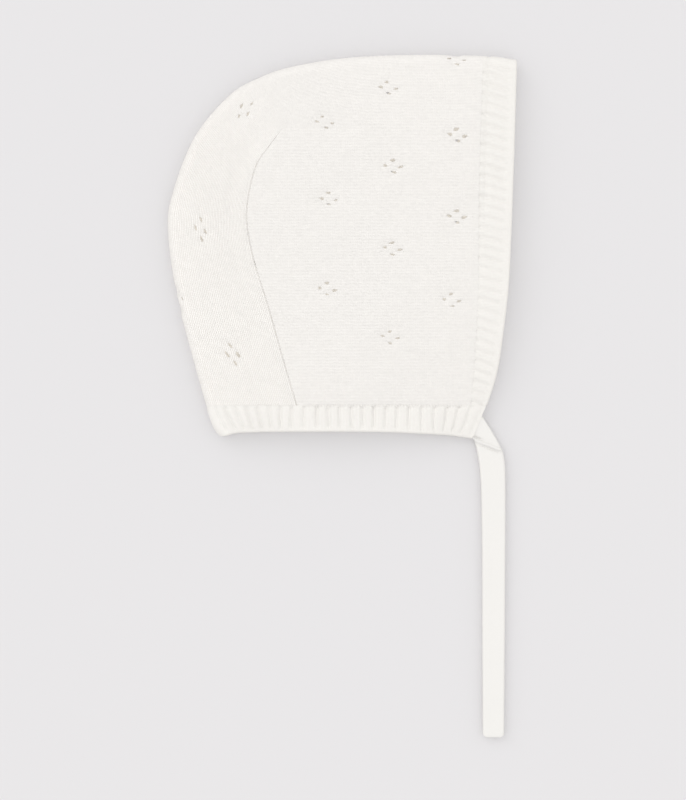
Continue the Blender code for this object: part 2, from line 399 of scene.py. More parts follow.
@dataclass
class Cloth:
    """A knitted cloth's middle surface, from which its two faces and rounded edges are made.

    Its knit coordinates, points and faces are given. The piece then sets, for each point, half the
    cloth's thickness, how far a rounded edge reaches, and how far each face is moved up.
    """

    knit: Array
    points: Array
    faces: list[Face]
    rim_turns: tuple[float, ...] = (45, 0, -45)

    def __post_init__(self) -> None:
        """Starts with no thickness and no relief."""
        self.half, self.reach, self.outward, self.inward = np.zeros((4, len(self.points)))

    def normals(self) -> Array:
        """Unit normals of the points.

        Returns:
            One row for each point.
        """
        total = np.zeros_like(self.points)
        for size in (3, 4):
            face = np.array([corners for corners in self.faces if len(corners) == size], int)
            if len(face):
                first, second, third, last = (self.points[face[:, corner]] for corner in (0, 1, 2, -1))
                flow = np.cross(third - first, last - second)
                for corner in face.T:
                    np.add.at(total, corner, flow)
        return unit(total)

    def edge_links(self) -> Array:
        """Directed edges that only one face has, which run round the cloth's edges and holes."""
        links = {(a, b) for face in self.faces for a, b in zip(face, face[1:] + face[:1])}
        return np.array(sorted(link for link in links if link[::-1] not in links), int)

    def rim_rings(self, outer: Array, inner: Array, links: Array, normal: Array) -> list[Array]:
        """Rounds the cloth's edges.

        Args:
            outer: Points of the outer face.
            inner: Points of the inner face.
            links: The edge's directed links.
            normal: Unit normal of each point.

        Returns:
            One ring of points for each turn of the rim, in the order of the edge's point numbers.
        """
        rim = np.unique(links)
        away = np.zeros_like(self.points)
        for start, end in links:
            aside = np.cross(self.points[end] - self.points[start], normal[start] + normal[end])
            away[start] += aside
            away[end] += aside
        away = unit(away[rim]) * self.reach[rim, None]
        middle, half = 0.5 * (outer + inner)[rim], 0.5 * (outer - inner)[rim]
        turns = [math.radians(turn) for turn in self.rim_turns]
        return [middle + away * math.cos(turn) + half * math.sin(turn) for turn in turns]

    def shell(self, name: str) -> bpy.types.Object:
        """Makes the closed cloth: an outer face, an inner face and a rounded edge between them.

        Args:
            name: Name of the object.

        Returns:
            The object, with the faces' normals outward and the knit coordinates as its UV map.
        """
        normal = self.normals()
        outer = self.points + normal * (self.half + self.outward)[:, None]
        inner = self.points - normal * (self.half - self.inward)[:, None]
        links = self.edge_links()
        rings = self.rim_rings(outer, inner, links, normal)
        rim = np.unique(links)
        count = len(self.points)
        knit = np.vstack([self.knit, self.knit, *[self.knit[rim]] * len(rings)])
        faces = list(self.faces) + [tuple(count + corner for corner in face[::-1]) for face in self.faces]
        number = np.arange(count)
        on_ring = 2 * count + np.searchsorted(rim, number)
        levels = [number, *(on_ring + ring * len(rim) for ring in range(len(rings))), count + number]
        start, end = links.T
        for upper, lower in zip(levels, levels[1:]):
            faces += np.column_stack([upper[end], upper[start], lower[start], lower[end]]).tolist()
        inside = np.zeros(len(faces), int)
        inside[len(self.faces) : 2 * len(self.faces)] = 1
        return mesh_object(name, np.vstack([outer, inner, *rings]), faces, knit, inside)


def mesh_object(
    name: str, points: Array, faces: list[Face], knit: Array, inside: Array | None = None
) -> bpy.types.Object:
    """Makes a smooth mesh object.

    Args:
        name: Name of the object and its mesh.
        points: Place of each point.
        faces: Corners of each face.
        knit: Knit coordinates of each point, for the UV map.
        inside: Material slot of each face, if there is more than one slot.

    Returns:
        The object, linked to the scene.
    """
    mesh = bpy.data.meshes.new(name)
    mesh.from_pydata(points.tolist(), [], [tuple(int(corner) for corner in face) for face in faces])
    if inside is not None:
        mesh.polygons.foreach_set("material_index", inside.astype(np.int32))
    corners = np.empty(len(mesh.loops), np.int32)
    mesh.loops.foreach_get("vertex_index", corners)
    mesh.uv_layers.new(name="Knit").uv.foreach_set("vector", knit[corners].astype(np.float32).ravel())
    mesh.shade_smooth()
    mesh.set_sharp_from_angle(angle=math.radians(SHARP_ANGLE))
    mesh.update()
    return placed(name, mesh)


def placed(name: str, data: bpy.types.ID) -> bpy.types.Object:
    """Makes an object of a mesh, a lamp or a camera, and puts it in the scene."""
    piece = bpy.data.objects.new(name, data)
    bpy.context.scene.collection.objects.link(piece)
    return piece


def grid_faces(index: Array) -> list[Face]:
    """Quads between the points of a grid of point numbers."""
    corners = (index[:-1, :-1], index[:-1, 1:], index[1:, 1:], index[1:, :-1])
    return [tuple(face) for face in np.stack([corner.ravel() for corner in corners], axis=1).tolist()]


def tube_faces(rows: int, sides: int) -> list[Face]:
    """Faces of a closed tube whose points are numbered row by row, with both ends filled."""
    index = np.arange(rows * sides).reshape(rows, sides)
    ends = [tuple(index[0, ::-1].tolist()), tuple(index[-1].tolist())]
    return grid_faces(np.hstack([index, index[:, :1]])) + ends


def inside_outline(point: Array, outline: Array) -> bool:
    """Tells if a point is inside a closed outline.

    Args:
        point: The point's two coordinates.
        outline: One row for each corner.

    Returns:
        True if it is.
    """
    x, y = outline.T
    x_next, y_next = np.roll(outline, -1, axis=0).T
    crosses = (y > point[1]) != (y_next > point[1])
    with np.errstate(divide="ignore", invalid="ignore"):
        reach = x + (point[1] - y) / (y_next - y) * (x_next - x)
    return bool((crosses & (point[0] < reach)).sum() % 2)


class Eyelet(NamedTuple):
    """Four eyelets: their place in millimetres, how far they are pulled open, and if a twin lies below."""

    place: str
    x: float
    y: float
    size: float
    twin: bool = True


EYELETS = (
    Eyelet("top of head", 20.3, 137.8, 1.06),
    Eyelet("above seam end", -8.0, 122.4, 0.94),
    Eyelet("forehead", 51.2, 116.6, 1.27),
    Eyelet("above ear", 22.5, 102.7, 1.12),
    Eyelet("behind ear, high", -6.1, 88.0, 0.98),
    Eyelet("temple", 51.0, 80.2, 1.16),
    Eyelet("ear", 22.1, 66.0, 1.16),
    Eyelet("behind ear, low", -6.8, 47.9, 1.04),
    Eyelet("cheek", 48.7, 43.1, 1.04),
    Eyelet("jaw", 21.1, 26.5, 0.97),
    Eyelet("back of crown", -43.6, 128.0, 0.79),
    Eyelet("back of head", -63.4, 74.5, 1.0),
    Eyelet("nape", -49.0, 18.6, 1.08),
    Eyelet("fold over forehead", 51.0, 151.0, 1.0, twin=False),
    Eyelet("fold at back", -74.4, 43.9, 0.68, twin=False),
)


class Opening(NamedTuple):
    """One of a motif's four openings, from its middle, in millimetres along and across the wales."""

    along: float
    across: float
    length: float
    width: float
    slant: float


PANEL_OPENINGS = (
    Opening(-3.3, -0.3, 2.2, 1.5, 14),
    Opening(-0.1, -2.5, 2.5, 1.4, -10),
    Opening(3.3, 0.6, 2.5, 1.35, -12),
    Opening(0.2, 2.7, 2.4, 1.3, 12),
)
TONGUE_OPENINGS = (
    Opening(4.2, 0.0, 2.9, 1.7, -22),
    Opening(-0.2, -2.5, 3.0, 1.85, -20),
    Opening(0.2, 2.4, 2.9, 1.75, -16),
    Opening(-4.0, 0.2, 2.8, 1.7, -18),
)


@dataclass
class EyeletWork:
    """The body's mesh while its motifs are cut.

    Its knit coordinates and faces are given. It also tells which points are on an opening's edge.
    """

    body: KnitBody
    knit: Array
    faces: list[Face]
    hole_points: int = 14
    motif_radius: float = 7.6 * MM
    mesh_step: float = 1.05 * MM
    row_share: float = 0.87
    clear_share: float = 0.42
    lattice_reach: int = 8
    ring_growth: float = 1.5
    point_share: float = 0.3
    pull_spread: Span = (0.84, 1.16)
    slant_spread: float = 8.0
    place_spread: float = 0.2
    seed: int = 7

    def __post_init__(self) -> None:
        """Starts with no openings."""
        self.on_hole = np.zeros(len(self.knit), bool)
        self.random = np.random.default_rng(self.seed)

    def cut(self, centre: Array, size: float) -> None:
        """Cuts one motif's openings and fills the cloth in between with triangles.

        Args:
            centre: The motif's middle, in knit coordinates.
            size: How far its openings are pulled open.
        """
        stretch = self.stretch(centre)
        near = (self.knit - centre) * stretch
        loop = self.clear_round(near)
        openings = TONGUE_OPENINGS if self.body.on_tongue(centre[None])[0] else PANEL_OPENINGS
        outlines = [self.opening_outline(opening, size) for opening in openings]
        rings = [near[loop], *outlines]
        stock = np.vstack([*rings, self.fill_points(rings)])
        edges, base = [], 0
        for ring in rings:
            edges += [(base + i, base + (i + 1) % len(ring)) for i in range(len(ring))]
            base += len(ring)
        made = delaunay_2d_cdt([Vector(point) for point in stock.tolist()], edges, [], 1, TOLERANCE)
        sources = [source[0] for source in made[3]]
        fresh = [source for source in sources if source >= len(loop)]
        numbers = {source: len(self.knit) + order for order, source in enumerate(fresh)}
        numbers.update(enumerate(loop))
        for face in made[2]:
            corners = [sources[corner] for corner in face]
            middle = stock[corners].mean(0)
            if not any(inside_outline(middle, outline) for outline in outlines):
                self.faces.append(tuple(numbers[corner] for corner in corners))
        self.knit = np.vstack([self.knit, centre + stock[fresh] / stretch])
        self.on_hole = np.concatenate([self.on_hole, [source < base for source in fresh]])

    def stretch(self, centre: Array) -> Array:
        """How much longer the cloth is here than its knit coordinates say, across and along."""
        place = self.body.place(np.array([centre, centre + (MM, 0), centre + (0, MM)]))
        return np.linalg.norm(place[1:] - place[0], axis=1) / MM

    def clear_round(self, near: Array) -> list[int]:
        """Takes out the quads near a motif's middle.

        Args:
            near: Each point's place from the middle, in the length of the cloth.

        Returns:
            The points round the gap, in order.
        """
        quads = np.array([face for face in self.faces if len(face) == 4], int)
        taken = np.hypot(*near[quads].mean(1).T) < self.motif_radius
        others = [face for face in self.faces if len(face) != 4]
        self.faces = [tuple(face) for face in quads[~taken].tolist()] + others
        links = {(a, b) for face in quads[taken].tolist() for a, b in zip(face, face[1:] + face[:1])}
        follow = {a: b for a, b in links if (b, a) not in links}
        loop = [min(follow)]
        while follow[loop[-1]] != loop[0]:
            loop.append(follow[loop[-1]])
        return loop

    def opening_outline(self, opening: Opening, size: float) -> Array:
        """Outline of one opening, pointed at one end as yarn pulls it, with its own small differences.

        Args:
            opening: The opening.
            size: How far it is pulled open.

        Returns:
            One row for each point, from the motif's middle.
        """
        angle = np.linspace(0, 2 * math.pi, self.hole_points, endpoint=False)
        pull = self.random.uniform(*self.pull_spread, 2) * size
        point = self.random.choice((-1, 1)) * self.point_share
        along = 0.5 * opening.length * pull[0] * np.cos(angle)
        across = 0.5 * opening.width * pull[1] * np.sin(angle) * (1 + point * np.cos(angle))
        turn = math.radians(opening.slant + self.random.uniform(-self.slant_spread, self.slant_spread))
        stray = self.random.uniform(-self.place_spread, self.place_spread, 2)
        aside = across * math.cos(turn) + along * math.sin(turn)
        ahead = along * math.cos(turn) - across * math.sin(turn)
        return (np.column_stack([aside, ahead]) + stray + (opening.across, opening.along)) * MM

    def fill_points(self, rings: list[Array]) -> Array:
        """Points in the cloth between the openings, on a triangular lattice clear of every edge.

        Args:
            rings: The gap's border, and the openings' outlines in it.

        Returns:
            One row for each point.
        """
        border, *outlines = rings
        span = range(-self.lattice_reach, self.lattice_reach + 1)
        lattice = [(i + 0.5 * (j % 2), j * self.row_share) for i in span for j in span]
        grown = [ring.mean(0) + (ring - ring.mean(0)) * self.ring_growth for ring in outlines]
        chosen = []
        for point in np.vstack([*grown, np.array(lattice) * self.mesh_step]):
            gap = np.hypot(*(np.vstack([*rings, *chosen]) - point).T).min()
            clear = gap > self.clear_share * self.mesh_step and inside_outline(point, border)
            if clear and not any(inside_outline(point, outline) for outline in outlines):
                chosen.append(point[None])
        return np.vstack(chosen)


@dataclass
class KnitBody:
    """The T-shaped knitted piece: crown strip, tongue down the back, and both side panels."""

    form: FoldedForm
    front: FrontBand
    neck: NeckBand
    wall: float = BODY_WALL
    pitch: float = 1.25 * MM
    edge_reach: float = 0.014 * MM
    edge_gap: float = 0.006 * MM
    strip_width: float = STRIP_WIDTH
    back_length: float = 143.0 * MM
    ridge_reach: float = 4.4 * MM
    ridge_pitch: float = 0.4 * MM
    probe_step: float = 0.1 * MM
    probe_rounds: int = 4
    twin_slip: Span = (-0.9 * MM, 2.6 * MM)
    # The back seams.
    seam_fade: float = 14.0 * MM
    seam_power: float = 0.6
    seam_gap: float = 0.03 * MM
    seam_reach: float = 0.24 * MM
    seam_line: float = 0.01 * MM
    slipped_stitch: Roll = Roll(59.6, 1.1, 0.2)
    tongue_sink: Roll = Roll(0, 1.1, 0.12)
    panel_sink: Roll = Roll(0, 1.7, 0.4)
    tongue_swell: tuple[Roll, Roll] = (Roll(2.2, 2.8, 0.3), Roll(9.6, 4.2, -0.3))
    panel_swell: Roll = Roll(0, 7, 0.35)
    pucker: Roll = Roll(2, 3, 0.07)
    pucker_length: float = 5.3 * MM
    # The joints with the bands.
    neck_slope: Roll = Roll(0, 3.2, 0.112)
    neck_step: float = 0.208 * MM
    neck_step_over: Span = (1.15 * MM, 0.65 * MM)
    neck_ridge: tuple[Roll, Roll] = (Roll(-2.2, 0.7, 0.12), Roll(-1.3, 0.3, -0.12))
    ridge_after_seam: Span = (-18 * MM, -12 * MM)
    ridge_before_corner: Span = (52 * MM, 42 * MM)
    front_ribs: Roll = Roll(0, 2.2, 0.36)
    neck_ribs: Roll = Roll(0, 1.6, 0.2)
    # How much of this relief the lower side and the inner face have.
    under_share: float = 0.35
    inner_share: float = 0.5
    # The eyelets' edges.
    hole_reach: float = 0.22 * MM
    hole_thinning: float = 0.66
    hole_edge: float = 1.7 * MM
    block: int = 4000

    def __post_init__(self) -> None:
        """Works out the ends of the strip and the panels."""
        inset = self.edge_gap + self.edge_reach
        self.left, self.top = SEAM.points[0]
        self.right = float(BAND_LINE.x_at(self.top)) - inset
        self.bottom = SEAM.points[-1, 1] + inset
        self.inner = self.form.bend_length(self.strip_width)
        self.crown_fold = FOLD.between("band line", "crown slope").copy()
        self.crown_fold[0, 0] -= inset
        self.back_fold = FOLD.between("crown slope", "neck line")

    def seam_clearance(self, y: Array) -> Array:
        """How far the cloth's middle surface ends from the seam, which opens gradually from its top end."""
        return (self.seam_gap + self.seam_reach) * self.opened(y) + self.slipped_stitch.over(y)

    def opened(self, y: Array) -> Array:
        """Share of the seam's full depth at each height."""
        return eased((self.top - y) / self.seam_fade) ** self.seam_power

    def on_tongue(self, knit: Array) -> Array:
        """Whether each place, in knit coordinates, is on the tongue."""
        return (knit[:, 1] < self.left - TOLERANCE) & (np.abs(knit[:, 0]) < self.inner + TOLERANCE)

    def plan(self, knit: Array) -> tuple[Array, Array]:
        """Turns knit coordinates into places in plan.

        Args:
            knit: Signed distance from the fold along the cloth, and distance along the wales,
                which over the panels is x.

        Returns:
            The places' x and y.
        """
        across, along = knit.T
        back = self.on_tongue(knit)[:, None]
        depth = self.form.bend_depth(across) / self.strip_width
        crown = at_share(self.crown_fold, np.clip((self.right - along) / (self.right - self.left), 0, 1))
        way = np.clip((self.left - along) / self.back_length, 0, 1)
        seam = at_share(SEAM.points, way)
        seam[:, 0] -= self.seam_clearance(seam[:, 1])
        outer = np.where(back, at_share(self.back_fold, way), crown)
        inner = np.where(back, seam, np.column_stack([along, np.full_like(along, self.top)]))
        place = outer + (inner - outer) * np.minimum(depth, 1)[:, None]
        drop = np.maximum(depth - 1, 0) * self.strip_width
        return place[:, 0], place[:, 1] - drop

    def place(self, knit: Array) -> Array:
        """Places on the folded cloth's middle surface.

        Args:
            knit: Knit coordinates, across and along.

        Returns:
            One row for each place.
        """
        x, y = self.plan(knit)
        y = np.maximum(y, self.bottom)
        return np.column_stack([x, y, self.form.height(x, y, knit[:, 0] >= 0, self.wall)])

    def lay_out(self) -> tuple[Array, list[Face]]:
        """Lays out the strip and both panels as one mesh that is open along the seams.

        Returns:
            Knit coordinates and the faces.
        """
        columns = graded(self.right, self.left, self.pitch, True, True)
        back_end = self.left - self.back_length
        stations = np.concatenate([columns, graded(self.left, back_end, self.pitch, False, True)[1:]])
        across = self.form.across_stations(self.inner, self.pitch, True)
        strip = np.arange(len(stations) * len(across)).reshape(len(stations), len(across))
        grids = [np.stack(np.meshgrid(across, stations), axis=-1).reshape(-1, 2)]
        faces = grid_faces(strip)
        height = self.panel_levels()[1:, None]
        left = SEAM.x_at(height) + self.seam_clearance(height)
        right = BAND_LINE.x_at(height) - self.edge_gap - self.edge_reach
        along = right + (left - right) * (self.right - columns) / (self.right - self.left)
        depth = np.broadcast_to(self.inner + self.top - height, along.shape)
        for order, (side, way) in enumerate(((0, 1), (-1, -1))):
            own = strip.size + order * along.size + np.arange(along.size).reshape(along.shape)
            index = np.vstack([strip[: len(columns), side], own])
            faces += grid_faces(index[:, ::way])
            grids.append(np.stack([way * depth, along], axis=-1).reshape(-1, 2))
        return np.vstack(grids), faces

    def panel_levels(self) -> Array:
        """Heights of the panels' rows of points, closer together over the ridge at the neck."""
        ridge = self.bottom + self.ridge_reach
        above = graded(self.top, ridge, self.pitch, False, False)
        return np.concatenate([above[:-1], graded(ridge, self.bottom, self.ridge_pitch, False, True)])

    def find(self, knit: Array, points: Array, wanted: Array) -> Array:
        """Knit coordinates of a place on the upper side.

        Args:
            knit: Knit coordinates of the mesh's points.
            points: Their places.
            wanted: The place in plan.

        Returns:
            The place's knit coordinates.
        """
        distance = np.hypot(*(points[:, :2] - wanted).T) + np.where(knit[:, 0] > 0, 0, FAR)
        spot = knit[int(np.argmin(distance))]
        for _ in range(self.probe_rounds):
            probes = np.array([spot, spot + (self.probe_step, 0), spot + (0, self.probe_step)])
            here = np.column_stack(self.plan(probes))
            slopes = (here[1:] - here[0]) / self.probe_step
            spot = spot + np.linalg.lstsq(slopes.T, wanted - here[0], rcond=None)[0]
        return spot

    def build(self) -> bpy.types.Object:
        """Makes the body, with its eyelets, rolled edges and seam grooves.

        Returns:
            The body's object.
        """
        knit, faces = self.lay_out()
        points = self.place(knit)
        work = EyeletWork(self, knit, faces)
        for motif in EYELETS:
            spot = self.find(knit, points, np.array([motif.x, motif.y]) * MM)
            work.cut(spot, motif.size)
            if motif.twin:
                work.cut(spot * (-1, 1) + self.twin_slip, motif.size)
        cloth = Cloth(work.knit, self.place(work.knit), work.faces)
        self.dress(cloth, work.on_hole)
        return cloth.shell("bonnet_body")

    def dress(self, cloth: Cloth, on_hole: Array) -> None:
        """Thins, rolls and sinks the cloth at its edges, its seams and its openings.

        Args:
            cloth: The body's cloth, which is changed.
            on_hole: Whether each point is on an opening's edge.
        """
        x, y, _ = cloth.points.T
        depth = np.abs(cloth.knit[:, 0])
        back = self.on_tongue(cloth.knit)
        room = self.form.room(x, y)
        to_seam = np.where(back, self.inner - depth, x - SEAM.x_at(y) - self.seam_clearance(y))
        to_seam = np.where(~back & (depth < self.inner - TOLERANCE), FAR, to_seam)
        sink, swell, pucker = self.seam_relief(y, back, to_seam)
        lowered = -sink - self.neck_sink(x, y) * room * ~back
        share = np.where(cloth.knit[:, 0] >= 0, 1.0, self.under_share)
        relief = pucker + self.joint_relief(x, y, depth, back)
        outward = (lowered + swell + relief) * share
        cloth.outward = np.where(share < 1, np.minimum(outward, 0), outward)
        cloth.inward = (self.inner_share * lowered + swell * share) * room
        cloth.half = 0.5 * self.wall * (1 - self.hole_thinning * self.near_holes(cloth.points, on_hole))
        on_seam = (to_seam < self.seam_line) & (y <= self.top + TOLERANCE)
        cloth.reach = np.where(on_hole, self.hole_reach, self.edge_reach)
        cloth.reach = np.where(on_seam, self.seam_reach * self.opened(y), cloth.reach)

    def seam_relief(self, y: Array, back: Array, to_seam: Array) -> tuple[Array, Array, Array]:
        """How the cloth goes in and out beside the back seams.

        Args:
            y: Height of each point in plan.
            back: Whether it is on the tongue.
            to_seam: Its distance from the seam.

        Returns:
            How far it rolls in, how far it swells, and how far it puckers.
        """
        seamed = self.opened(y) * (y < self.top)
        sink = np.where(back, self.tongue_sink.over(to_seam), self.panel_sink.over(to_seam))
        tongue = sum(roll.over(to_seam) for roll in self.tongue_swell)
        swell = np.where(back, tongue, self.panel_swell.over(to_seam))
        pucker = self.pucker.over(to_seam) * np.sin(2 * math.pi * y / self.pucker_length)
        return seamed * sink, seamed * swell, seamed * pucker

    def neck_sink(self, x: Array, y: Array) -> Array:
        """How far the panels sink towards the neck band, up to the corner.

        Args:
            x: Places in plan.
            y: Places in plan.

        Returns:
            The depth at each place.
        """
        to_neck = y - self.bottom
        step = self.neck_step * ramp(to_neck, *self.neck_step_over)
        return (self.neck_slope.over(to_neck) + step) * ramp(x, *GROOVE_END)

    def joint_relief(self, x: Array, y: Array, depth: Array, back: Array) -> Array:
        """The ridge over the neck joint, and the marks that both bands' ribs leave in the body.

        Args:
            x: Places in plan.
            y: Places in plan.
            depth: Distance of each from the fold, along the cloth.
            back: Whether it is on the tongue.

        Returns:
            The height at each place.
        """
        to_band = np.where(back, FAR, BAND_LINE.x_at(y) - x)
        ridge = sum(roll.over(y) for roll in self.neck_ridge)
        ridge = ridge * ramp(x, *self.ridge_after_seam) * ramp(x, *self.ridge_before_corner)
        from_fold = self.form.bend_length(np.maximum(x - FOLD.points[-1, 0], 0))
        pits = self.neck.groove_at(from_fold) * self.neck_ribs.over(y - self.bottom)
        return (ridge - pits) * ~back - self.front.groove_at(depth) * self.front_ribs.over(to_band)

    def near_holes(self, points: Array, on_hole: Array) -> Array:
        """Share from 0 to 1 for how near the openings' edges each point is.

        Args:
            points: Place of each point.
            on_hole: Whether each is on an opening's edge.

        Returns:
            The share for each point.
        """
        edge = points[on_hole]
        blocks = [points[start : start + self.block] for start in range(0, len(points), self.block)]
        gaps = [np.linalg.norm(block[:, None] - edge, axis=-1).min(1) for block in blocks]
        return bell(np.concatenate(gaps), self.hole_edge)


class RibPitch(NamedTuple):
    """Distance from one rib's groove to the next, at a distance from the fold, in millimetres."""

    place: str
    distance: float
    pitch: float


@dataclass
class RibBand:
    """A knitted rib band that goes round an opening, from the corner over the fold to the other corner."""

    form: FoldedForm
    wall: float = 2.2 * MM
    joined_wall: float = BODY_WALL
    thickens_over: Span = (0, 2.5 * MM)
    edge_gap: float = 0.006 * MM
    edge_reach: float = 0.75 * MM
    link_reach: float = 0.014 * MM
    length_pitch: float = 0.45 * MM
    width_pitch: float = 0.85 * MM
    groove_width: float = 0.85 * MM
    groove_stray: float = 0.1 * MM
    groove_depths: Span = (0.75, 1.1)
    name: str = "rib_band"
    ribs: tuple[RibPitch, ...] = ()
    first_groove: float = 0.0
    mirrored: bool = False
    seed: int = 1

    def grooves(self) -> tuple[Array, Array]:
        """Distances from the fold of the grooves between ribs, and how deep each is.

        Returns:
            The distances, each a little off the regular pitch, and shares of the full depth.
        """
        random = np.random.default_rng(self.seed)
        distances = [rib.distance * MM for rib in self.ribs]
        pitches = [rib.pitch * MM for rib in self.ribs]
        places = [self.first_groove]
        while places[-1] < self.length():
            places.append(places[-1] + float(np.interp(places[-1], distances, pitches)))
        strays = random.uniform(-1, 1, len(places)) * self.groove_stray
        return np.array(places) + strays, random.uniform(*self.groove_depths, len(places))

    def groove_at(self, distance: Array) -> Array:
        """Relief of the ribs at distances from the fold: 1 in the middle of a groove, 0 on a rib."""
        places, depth = self.grooves()
        return (bell(distance[:, None] - places, self.groove_width) * depth).max(1)

    def place(self, across: Array, share: Array) -> Array:
        """Places on the band's middle surface.

        Args:
            across: Signed distance from the fold along the band.
            share: Share of the band's width, from its linked line to its free edge.

        Returns:
            The places.
        """
        raise NotImplementedError

    def length(self) -> float:
        """Length of the band on one side."""
        raise NotImplementedError

    def width(self) -> float:
        """Width of the band."""
        raise NotImplementedError

    def dress(self, cloth: Cloth, down: Array) -> None:
        """Gives the cloth its ribs and edges, from the distances across the band."""
        raise NotImplementedError

    def build(self) -> bpy.types.Object:
        """Makes the band.

        Returns:
            The band's object.
        """
        length = self.form.bend_length(self.length())
        stations = self.form.across_stations(length, self.length_pitch, False)
        start, end = self.edge_gap + self.link_reach, self.width() - self.edge_reach
        rows = graded(start, end, self.width_pitch, True, True)
        across, down = (axis.ravel() for axis in np.meshgrid(stations, rows))
        index = np.arange(len(across)).reshape(len(rows), len(stations))
        faces = grid_faces(index[:, ::-1] if self.mirrored else index)
        cloth = Cloth(np.column_stack([across, -down]), self.place(across, down / self.width()), faces)
        thicker = (self.wall - self.joined_wall) * ramp(down, *self.thickens_over)
        cloth.half = 0.5 * (self.joined_wall + thicker)
        linked = np.isclose(down, start) | np.isclose(np.abs(across), length)
        cloth.reach = np.where(linked, self.link_reach, self.edge_reach)
        self.dress(cloth, down)
        return cloth.shell(self.name)


@dataclass
class FrontBand(RibBand):
    """The band round the face opening, with faint ribs and a plain edge."""

    name: str = "bonnet_front_band"
    ribs: tuple[RibPitch, ...] = (RibPitch("fold", 0, 4.59), RibPitch("neck", 160, 4.59))
    first_groove: float = 4.1 * MM
    mirrored: bool = True
    groove_width: float = 1.1 * MM
    seed: int = 3
    plain_edge: float = 2.8 * MM
    ribs_end_over: Span = (0, 1.6 * MM)
    ribs_start_over: Span = (-1.2 * MM, 1.8 * MM)
    lean: float = 0.2
    more_lean: float = 0.14
    leans_over: Span = (58 * MM, 8 * MM)
    rib_depth: float = 0.95 * MM
    less_depth: float = 0.25 * MM
    shallows_over: Span = (110 * MM, 30 * MM)
    valley: Roll = Roll(2.5, 0.9, 0.6)
    valley_over: Span = (55 * MM, 95 * MM)
    edge_line: Roll = Roll(0, 0.35, 0.1)
    inner_share: float = 0.7

    def length(self) -> float:
        """Length from the fold to the neck line."""
        return BAND_LINE.points[-1, 1] - BAND_LINE.points[0, 1] - self.edge_gap - self.link_reach

    def width(self) -> float:
        """Width at the fold."""
        return FACE_EDGE.points[-1, 0] - BAND_LINE.points[-1, 0]

    def place(self, across: Array, share: Array) -> Array:
        """Places on the band's middle surface.

        Args:
            across: Signed distance from the fold along the band.
            share: Share of the band's width, from its linked line to its free edge.

        Returns:
            The places.
        """
        top = (1 - share) * BAND_LINE.points[-1, 1] + share * FACE_EDGE.points[-1, 1]
        bottom = BAND_LINE.points[0, 1] + self.edge_gap + self.link_reach
        y = top - self.form.bend_depth(across) / self.length() * (top - bottom)
        x = (1 - share) * BAND_LINE.x_at(y) + share * FACE_EDGE.x_at(y)
        return np.column_stack([x, y, self.form.height(x, y, across >= 0, self.wall)])

    def dress(self, cloth: Cloth, down: Array) -> None:
        """Ribs that lean down towards the jaw, a valley beside the linked edge, and a plain free edge.

        Args:
            cloth: The band's cloth, which is changed.
            down: Distance of each point from the linked line, across the band.
        """
        x, y, _ = cloth.points.T
        to_plain = self.width() - self.plain_edge - down
        lean = self.lean + self.more_lean * ramp(y, *self.leans_over)
        rib = self.groove_at(np.abs(cloth.knit[:, 0]) - lean * (x - BAND_LINE.x_at(y)))
        rib *= ramp(to_plain, *self.ribs_end_over) * ramp(down, *self.ribs_start_over)
        depth = self.rib_depth - self.less_depth * ramp(y, *self.shallows_over)
        valley = self.valley.over(down) * ramp(y, *self.valley_over)
        cloth.outward = -valley - self.edge_line.over(to_plain) - depth * rib
        cloth.inward = self.inner_share * cloth.outward * self.form.room(x, y)


